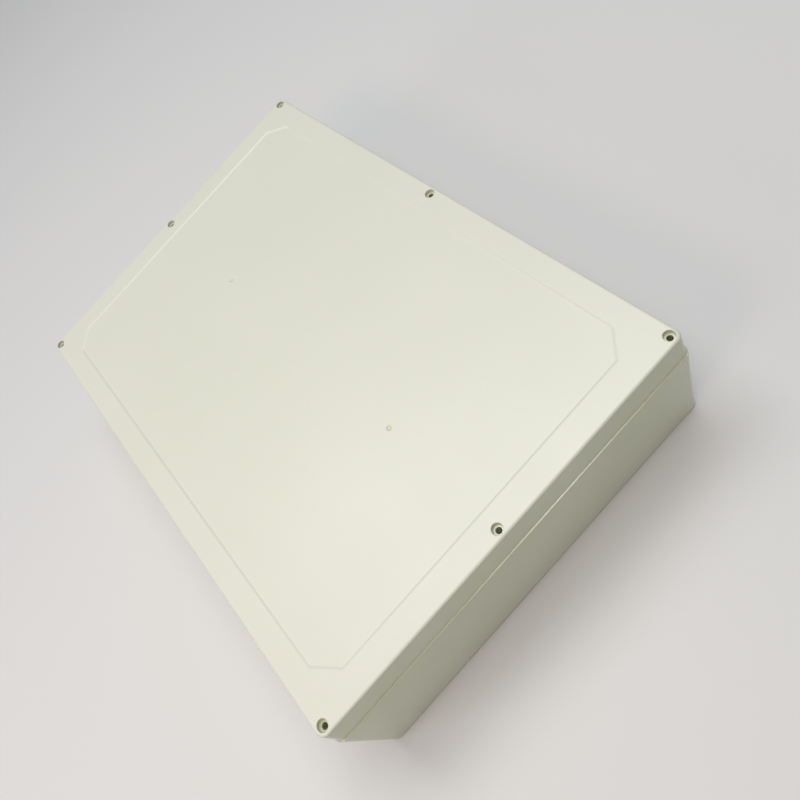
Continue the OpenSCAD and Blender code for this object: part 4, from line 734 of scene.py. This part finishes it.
bodyOf = {}
for body, names in frame["record"]["behaviour"]["bodies"].items():
    for node in names:
        bodyOf[node] = body


# Pressed can tops show bare inside the sleeve's curl
def bareCanTop(centre, normal):
    near = any(math.hypot(centre.x / mm - x, centre.y / mm - y) < canRow["topR"] for x, y in canMiddles)
    return normal.z > 0.5 and near


# A fuse's two metal caps, either side of its glass
def fuseCap(centre, normal):
    return abs(abs(centre.y / mm - fuseRow["y"]) - fuseRow["capAt"]) < fuseRow["capHalf"]


secondFinish = {"reservoir_capacitors": ("canAluminium", bareCanTop), "fuses": ("zincPlatedSteel", fuseCap)}
leadFinish = {    # one for each lead of the node, in the order of their first faces
    "mains_leads": ("leadBlue", "leadBrown", "leadBlue", "leadGreen", "leadGreen", "leadBrown"),
    "supply_leads": ("leadRed", "leadOrange", "leadBlack", "leadOrange"),
    "signal_leads": ("leadWhite", "leadGrey"),
}
stripeAbove = 0.8    # an earth lead is green, and yellow where it faces up more than this


# Colours each separate lead of a mesh and gives back how many there are
def colourLeads(work, mesh, names):
    mesh.materials.clear()
    for name in names + ("leadYellow",):
        mesh.materials.append(finish[name])
    seen = set()
    lead = -1
    for start in work.faces:
        if start.index in seen:
            continue
        lead += 1
        queue = [start]
        seen.add(start.index)
        while queue:
            face = queue.pop()
            face.material_index = min(lead, len(names) - 1)
            if names[face.material_index] == "leadGreen" and face.normal.z > stripeAbove:
                face.material_index = len(names)
            for edge in face.edges:
                for other in edge.link_faces:
                    if other.index not in seen:
                        seen.add(other.index)
                        queue.append(other)
    return lead + 1


for node, (finishName, edge) in fitted.items():
    mesh = frame["nodes"][node].data.copy()
    work = bmesh.new()
    work.from_mesh(mesh)
    bmesh.ops.remove_doubles(work, verts=work.verts, dist=mergeWithin)
    mesh.materials.clear()
    mesh.materials.append(finish[finishName])
    if node in leadFinish:
        bmesh.ops.join_triangles(work, faces=work.faces, angle_face_threshold=0.7, angle_shape_threshold=0.7)
        work.faces.ensure_lookup_table()
        work.faces.index_update()
        found = colourLeads(work, mesh, leadFinish[node])
        print(node, "separate leads:", found)
    else:
        bmesh.ops.dissolve_limit(work, angle_limit=math.radians(0.6), verts=work.verts, edges=work.edges)
    if node == "matching_inductors":    # drawn in, so that the wire lies inside the CAD part's skin
        for vertex in work.verts:
            vertex.co -= vertex.normal * winding["wire"] * mm
    if node in secondFinish:
        secondName, rule = secondFinish[node]
        mesh.materials.append(finish[secondName])
        for face in work.faces:
            face.material_index = 1 if rule(face.calc_center_median(), face.normal) else 0
    work.to_mesh(mesh)
    work.free()
    words = node.split("_")
    piece = bpy.data.objects.new(words[0] + "".join(w.capitalize() for w in words[1:]), mesh)
    bpy.context.scene.collection.objects.link(piece)
    if edge:
        bevel = piece.modifiers.new("edge", "BEVEL")
        bevel.width = edge * mm
        bevel.segments = 2
        bevel.limit_method = "ANGLE"
        bevel.angle_limit = math.radians(35)
    shaded(piece)
    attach(piece, bodyOf[node])
    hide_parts(node)
print("fitted parts made:", len(fitted))


# A tree with named inputs; each is (name, kind, first value), and their identifiers come back by name
def newTree(name, inputs):
    tree = bpy.data.node_groups.new(name, "GeometryNodeTree")
    tree.interface.new_socket("Places", in_out="INPUT", socket_type="NodeSocketGeometry")
    tree.interface.new_socket("Result", in_out="OUTPUT", socket_type="NodeSocketGeometry")
    keys = {}
    for label, kind, value in inputs:
        socket = tree.interface.new_socket(label, in_out="INPUT", socket_type="NodeSocket" + kind)
        if value is not None:
            socket.default_value = value
        keys[label] = socket.identifier
    given = tree.nodes.new("NodeGroupInput").outputs
    return tree, given, keys


# Runs a tree on an object whose mesh holds the places in mm, and keeps the outcome as a plain mesh
def grown(name, places, tree, keys, values):
    piece = meshObject(name, [tuple(v * mm for v in p) for p in places], [])
    grow = piece.modifiers.new("grow", "NODES")
    grow.node_group = tree
    for label, value in values.items():
        grow[keys[label]] = value
    applied(piece)
    outwards(piece.data)
    return piece


# Clamp screw: a slotted head, turned at random about its axis, one at each place
screwTree, given, screwKeys = newTree("clampScrew", (("Radius", "Float", 0.002), ("Height", "Float", 0.002),
                                                     ("Slot", "Float", 0.0006), ("Seed", "Int", 1),
                                                     ("Metal", "Material", None)))
head = addNode(screwTree, "GeometryNodeMeshCylinder", {"Vertices": 20},
               {"Radius": given["Radius"], "Depth": given["Height"]})
span = addNode(screwTree, "ShaderNodeMath", {"operation": "MULTIPLY", 1: 3.0}, {0: given["Radius"]})
cutSize = addNode(screwTree, "ShaderNodeCombineXYZ", {}, {"X": span.outputs[0], "Y": given["Slot"],
                                                          "Z": given["Height"]})
blade = addNode(screwTree, "GeometryNodeMeshCube", {}, {"Size": cutSize.outputs[0]})
raisedBy = addNode(screwTree, "ShaderNodeMath", {"operation": "MULTIPLY", 1: 0.6}, {0: given["Height"]})
raiseTo = addNode(screwTree, "ShaderNodeCombineXYZ", {}, {"Z": raisedBy.outputs[0]})
lifted = addNode(screwTree, "GeometryNodeTransform", {}, {"Geometry": blade.outputs["Mesh"],
                                                          "Translation": raiseTo.outputs[0]})
slotted = addNode(screwTree, "GeometryNodeMeshBoolean", {"operation": "DIFFERENCE"},
                  {"Mesh 1": head.outputs["Mesh"], "Mesh 2": lifted.outputs["Geometry"]})
turn = addNode(screwTree, "FunctionNodeRandomValue", {"data_type": "FLOAT_VECTOR", 0: (0, 0, 0),
                                                      1: (0, 0, math.pi)}, {"Seed": given["Seed"]})
spread = addNode(screwTree, "GeometryNodeInstanceOnPoints", {}, {"Points": given["Places"],
                 "Instance": slotted.outputs["Mesh"], "Rotation": turn.outputs[0]})
real = addNode(screwTree, "GeometryNodeRealizeInstances", {}, {"Geometry": spread.outputs["Instances"]})
dressed = addNode(screwTree, "GeometryNodeSetMaterial", {}, {"Geometry": real.outputs["Geometry"],
                                                             "Material": given["Metal"]})
addNode(screwTree, "NodeGroupOutput", {}, {0: dressed.outputs["Geometry"]})


# Offsets of evenly spaced places about their middle
def evenly(count, pitch):
    return [(i - (count - 1) / 2) * pitch for i in range(count)]


screwX, screwY, screwZ = rail["breakerScrew"]
breakerSpots, blockSpots, boardSpots = [], [], []
for sx in (-1, 1):
    for sy in (-1, 1):
        breakerSpots.append((rail["x"] + sx * screwX, rail["breakerY"] + sy * screwY, screwZ))
    for i in range(blockRow["count"]):
        blockSpots.append((rail["x"] + sx * blockRow["screwX"], blockRow["first"] + blockRow["pitch"] * i,
                           blockRow["screwZ"]))
for u, v in boardBlocks["places"]:
    for offset in evenly(boardBlocks["ways"], boardBlocks["pitch"]):
        boardSpots.append((board["x"] + u, board["y"] + v + offset, board["top"] + boardBlocks["screwUp"]))
supplySpots = [(supplyStrip["x"] + offset, supplyStrip["y"], supplyStrip["z"])
               for offset in evenly(supplyStrip["count"], supplyStrip["pitch"])]
earthSpots = [(earthBar["x"], earthBar["y"] + offset, earthBar["z"])
              for offset in evenly(earthBar["count"], earthBar["pitch"])]
clampScrews = {    # piece: middles of the heads, radius, height and slot in mm, seed, metal, record's slot
    "breakerClampScrews": (breakerSpots, 2.6, 2.4, 0.9, 3, "zincPlatedSteel", "tinned_steel"),
    "blockClampScrews": (blockSpots, 1.7, 1.8, 0.6, 5, "zincPlatedSteel", "tinned_steel"),
    "supplyClampScrews": (supplySpots, 2.7, 2.4, 0.9, 7, "zincPlatedSteel", "tinned_steel"),
    "boardClampScrews": (boardSpots, 1.5, 1.8, 0.5, 11, "tinnedSteel", "tinned_steel"),
    "earthClampScrews": (earthSpots, 2.6, 1.8, 0.8, 13, "turnedBrass", "brass"),
}
for name, (places, radius, height, slot, seed, metal, recordSlot) in clampScrews.items():
    piece = grown(name, places, screwTree, screwKeys,
                  {"Radius": radius * mm, "Height": height * mm, "Slot": slot * mm,
                   "Seed": seed, "Metal": finish[metal]})
    edge = piece.modifiers.new("edge", "BEVEL")
    edge.width = 0.15 * mm
    edge.segments = 1
    edge.limit_method = "ANGLE"
    shaded(piece)
    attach(piece, "case")
print("clamp screws made:", len(clampScrews))

# Ring winding: wire loops round the core's section, spaced about its ring, one winding at each place
windTree, given, windKeys = newTree("ringWinding", (("Turns", "Int", 20), ("Wire", "Float", 0.001),
                                                    ("Ring", "Float", 0.01), ("Width", "Float", 0.01),
                                                    ("Height", "Float", 0.01), ("Corner", "Float", 0.002),
                                                    ("Sweep", "Float", 5.6), ("Copper", "Material", None)))
section = addNode(windTree, "GeometryNodeCurvePrimitiveQuadrilateral", {},
                  {"Width": given["Width"], "Height": given["Height"]})
softened = addNode(windTree, "GeometryNodeFilletCurve", {"mode": "POLY", "Limit Radius": True, "Count": 3},
                   {"Curve": section.outputs["Curve"], "Radius": given["Corner"]})
halfUp = addNode(windTree, "ShaderNodeMath", {"operation": "MULTIPLY", 1: 0.5}, {0: given["Height"]})
outTo = addNode(windTree, "ShaderNodeCombineXYZ", {}, {"X": given["Ring"], "Z": halfUp.outputs[0]})
stood = addNode(windTree, "GeometryNodeTransform", {"Rotation": (math.pi / 2, 0, 0)},
                {"Geometry": softened.outputs["Curve"], "Translation": outTo.outputs[0]})
thin = addNode(windTree, "ShaderNodeMath", {"operation": "MULTIPLY", 1: 0.5}, {0: given["Wire"]})
wire = addNode(windTree, "GeometryNodeCurvePrimitiveCircle", {"Resolution": 8}, {"Radius": thin.outputs[0]})
loop = addNode(windTree, "GeometryNodeCurveToMesh", {}, {"Curve": stood.outputs["Geometry"],
                                                         "Profile Curve": wire.outputs["Curve"]})
spots = addNode(windTree, "GeometryNodePoints", {}, {"Count": given["Turns"]})
number = addNode(windTree, "GeometryNodeInputIndex")
share = addNode(windTree, "ShaderNodeMath", {"operation": "DIVIDE"}, {0: number.outputs["Index"],
                                                                      1: given["Turns"]})
angle = addNode(windTree, "ShaderNodeMath", {"operation": "MULTIPLY"},
                {0: share.outputs[0], 1: given["Sweep"]})
about = addNode(windTree, "ShaderNodeCombineXYZ", {}, {"Z": angle.outputs[0]})
oneWinding = addNode(windTree, "GeometryNodeInstanceOnPoints", {}, {"Points": spots.outputs[0],
                     "Instance": loop.outputs["Mesh"], "Rotation": about.outputs[0]})
spread = addNode(windTree, "GeometryNodeInstanceOnPoints", {}, {"Points": given["Places"],
                                                                "Instance": oneWinding.outputs["Instances"]})
real = addNode(windTree, "GeometryNodeRealizeInstances", {}, {"Geometry": spread.outputs["Instances"]})
dressed = addNode(windTree, "GeometryNodeSetMaterial", {}, {"Geometry": real.outputs["Geometry"],
                                                            "Material": given["Copper"]})
addNode(windTree, "NodeGroupOutput", {}, {0: dressed.outputs["Geometry"]})
thick = winding["wire"]
inner, outer = winding["coreIn"] + thick / 2, winding["coreOut"] - thick / 2
tall = winding["coreTall"] - thick
places = [(board["x"] + winding["u"], board["y"] + v, board["top"] + thick / 2) for v in winding["v"]]
piece = grown("inductorWindings", places, windTree, windKeys,
              {"Turns": winding["turns"], "Wire": thick * mm, "Ring": (inner + outer) / 2 * mm,
               "Width": (outer - inner) * mm, "Height": tall * mm, "Corner": winding["corner"] * mm,
               "Sweep": math.radians(winding["sweep"]), "Copper": finish["copperWire"]})
shaded(piece, 50)
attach(piece, "case")
print("windings made:", len(piece.data.polygons), "faces")

# Chip resistors and capacitors: a body with two tinned ends, in rows with gaps, a quarter of them turned
chipTree, given, chipKeys = newTree("chipParts", (("Length", "Float", 0.002), ("Width", "Float", 0.00125),
                                                  ("Height", "Float", 0.0006), ("End", "Float", 0.0004),
                                                  ("Fill", "Float", 0.8), ("Seed", "Int", 1),
                                                  ("Body", "Material", None), ("Ends", "Material", None)))
bodySize = addNode(chipTree, "ShaderNodeCombineXYZ", {}, {"X": given["Length"], "Y": given["Width"],
                                                          "Z": given["Height"]})
body = addNode(chipTree, "GeometryNodeMeshCube", {}, {"Size": bodySize.outputs[0]})
bodyDressed = addNode(chipTree, "GeometryNodeSetMaterial", {}, {"Geometry": body.outputs["Mesh"],
                                                                "Material": given["Body"]})
wider = addNode(chipTree, "ShaderNodeMath", {"operation": "MULTIPLY", 1: 1.06}, {0: given["Width"]})
taller = addNode(chipTree, "ShaderNodeMath", {"operation": "MULTIPLY", 1: 1.1}, {0: given["Height"]})
endSize = addNode(chipTree, "ShaderNodeCombineXYZ", {}, {"X": given["End"], "Y": wider.outputs[0],
                                                         "Z": taller.outputs[0]})
end = addNode(chipTree, "GeometryNodeMeshCube", {}, {"Size": endSize.outputs[0]})
parts = [bodyDressed.outputs["Geometry"]]
for halfLength in (0.5, -0.5):
    sideways = addNode(chipTree, "ShaderNodeMath", {"operation": "MULTIPLY", 1: halfLength},
                       {0: given["Length"]})
    sideTo = addNode(chipTree, "ShaderNodeCombineXYZ", {}, {"X": sideways.outputs[0]})
    moved = addNode(chipTree, "GeometryNodeTransform", {}, {"Geometry": end.outputs["Mesh"],
                                                            "Translation": sideTo.outputs[0]})
    endDressed = addNode(chipTree, "GeometryNodeSetMaterial", {}, {"Geometry": moved.outputs["Geometry"],
                                                                   "Material": given["Ends"]})
    parts.append(endDressed.outputs["Geometry"])
whole = addNode(chipTree, "GeometryNodeJoinGeometry")
for part in parts:
    chipTree.links.new(part, whole.inputs[0])
filled = addNode(chipTree, "FunctionNodeRandomValue", {"data_type": "BOOLEAN"},
                 {"Probability": given["Fill"], "Seed": given["Seed"]})
quarter = addNode(chipTree, "FunctionNodeRandomValue", {"data_type": "FLOAT"}, {"Seed": given["Seed"]})
chosen = addNode(chipTree, "ShaderNodeMath", {"operation": "LESS_THAN", 1: 0.25}, {0: quarter.outputs[1]})
angle = addNode(chipTree, "ShaderNodeMath", {"operation": "MULTIPLY", 1: math.pi / 2}, {0: chosen.outputs[0]})
about = addNode(chipTree, "ShaderNodeCombineXYZ", {}, {"Z": angle.outputs[0]})
spread = addNode(chipTree, "GeometryNodeInstanceOnPoints", {}, {"Points": given["Places"],
                 "Instance": whole.outputs[0], "Rotation": about.outputs[0], "Selection": filled.outputs[3]})
real = addNode(chipTree, "GeometryNodeRealizeInstances", {}, {"Geometry": spread.outputs["Instances"]})
addNode(chipTree, "NodeGroupOutput", {}, {0: real.outputs["Geometry"]})

chipRows = {    # mm; each area is from (u, v) to (u, v), from the board's corner
    "pitch": 4.2, "size": (2.6, 1.6, 0.7), "end": 0.5, "margin": 2.4, "seed": 4, "fill": 0.75,
    "areas": ((58, 92, 66, 142), (70, 143, 87, 148), (88, 96, 98, 120), (92, 130, 152, 148),
              (8, 112, 34, 142), (100, 196, 108, 240), (90, 56, 150, 58), (88, 66, 97, 92)),
}
openAbove = ("lid", "lid_gasket", "lid_screws", "base_shell", "psu_cover")
blockers = []
for node, cadPart in frame["nodes"].items():
    if node not in openAbove:
        points = [v.co for v in cadPart.data.vertices]
        blockers.append(BVHTree.FromPolygons(points, [p.vertices[:] for p in cadPart.data.polygons]))


# True where nothing stands on the board within the margin
def clearSpot(x, y):
    lookFrom, standsOut = 60, 0.05    # mm above the board
    for dx in (-1, 0, 1):
        for dy in (-1, 0, 1):
            above = Vector(((x + dx * chipRows["margin"]) * mm, (y + dy * chipRows["margin"]) * mm,
                            (board["top"] + lookFrom) * mm))
            for blocker in blockers:
                where = blocker.ray_cast(above, Vector((0, 0, -1)))[0]
                if where and where.z > (board["top"] + standsOut) * mm:
                    return False
    return True


length, width, height = chipRows["size"]
places = []
for u0, v0, u1, v1 in chipRows["areas"]:
    for i in range(int((u1 - u0) / chipRows["pitch"]) + 1):
        for j in range(int((v1 - v0) / chipRows["pitch"]) + 1):
            x, y = board["x"] + u0 + i * chipRows["pitch"], board["y"] + v0 + j * chipRows["pitch"]
            if clearSpot(x, y):
                places.append((x, y, board["top"] + height * 0.55))
sizes = {"Length": length * mm, "Width": width * mm, "Height": height * mm, "End": chipRows["end"] * mm}
# Resistors and capacitors take the places by turns
chipKinds = (("chipResistors", 0, "epoxyMoulding"), ("chipCapacitors", 1, "sinteredCeramic"))
for name, first, bodyFinish in chipKinds:
    piece = grown(name, places[first::2], chipTree, chipKeys,
                  {**sizes, "Fill": chipRows["fill"], "Seed": chipRows["seed"] + first,
                   "Body": finish[bodyFinish], "Ends": finish["solderTin"]})
    shaded(piece)
    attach(piece, "case")
    print(name, "made:", len(piece.data.polygons), "faces")

studio = {"floorHalf": 3, "floorColour": "#dedede", "worldColour": "#dfe3e6", "worldStrength": 0.29}
far = studio["floorHalf"]
floorMaterial = newMaterial("paleFloor", {"Base Color": studio["floorColour"], "Roughness": 0.7})[0]
floor = meshObject("floor", [(-far, -far, 0), (far, -far, 0), (far, far, 0), (-far, far, 0)], [[0, 1, 2, 3]],
                   [floorMaterial])

world = bpy.data.worlds.new("studio")
world.use_nodes = True
background = world.node_tree.nodes["Background"]
background.inputs["Color"].default_value = linear(studio["worldColour"])
background.inputs["Strength"].default_value = studio["worldStrength"]
bpy.context.scene.world = world

lights = {    # name: place, aim, size across and along in metres, watts, colour
    "topSoftbox": ((-0.5, 0.25, 2.3), (0.05, 0, 0.1), (2.0, 0.8), 25.5, "#ffffff"),
    "overheadStrip": ((0.45, 0.1, 2.2), (0.24, 0, 0.1), (1.6, 0.2), 9, "#ffffff"),    # lights the lip's ledge
    "sideFill": ((1.6, -0.9, 0.5), (0.1, 0, 0.05), (0.8, 0.8), 0.4, "#fff0c8"),
    "rimStrip": ((-0.2, -1.6, 0.9), (0, 0, 0.1), (0.6, 0.6), 4, "#ffffff"),
    "nearWarm": ((0.4, -0.75, 1.1), (0.22, -0.2, 0.1), (0.4, 0.4), 3.0, "#ffe0cc"),
}
for name, (spot, aim, size, watts, colour) in lights.items():
    lamp = bpy.data.lights.new(name, "AREA")
    lamp.shape = "RECTANGLE"
    lamp.size, lamp.size_y = size
    lamp.energy = watts
    lamp.color = linear(colour)[:3]
    holder = bpy.data.objects.new(name, lamp)
    holder.location = spot
    holder.rotation_euler = (Vector(aim) - Vector(spot)).to_track_quat("-Z", "Y").to_euler()
    bpy.context.scene.collection.objects.link(holder)
print("studio lit:", len(lights), "lights")

view = {    # sensor and lens in mm, the rest in metres; the last three are the camera's own axes
    "sensor": 36, "lens": 34.48, "shiftX": 0.1147, "shiftY": -0.1156, "clipStart": 0.01,
    "place": (0.3959, 0.0119, 0.5985),
    "right": (0.57303, 0.67113, -0.47034), "up": (-0.49815, 0.74096, 0.45036),
    "back": (0.65076, -0.02377, 0.75891),
}
cameraData = bpy.data.cameras.new("camera")
cameraData.sensor_width = view["sensor"]
cameraData.lens = view["lens"]
cameraData.shift_x = view["shiftX"]
cameraData.shift_y = view["shiftY"]
cameraData.clip_start = view["clipStart"]
camera = bpy.data.objects.new("camera", cameraData)
rows = list(zip(view["right"], view["up"], view["back"], view["place"]))
camera.matrix_world = Matrix(rows + [(0, 0, 0, 1)])
bpy.context.scene.collection.objects.link(camera)
bpy.context.scene.camera = camera
bpy.context.scene.view_settings.view_transform = "Standard"
print("camera placed")
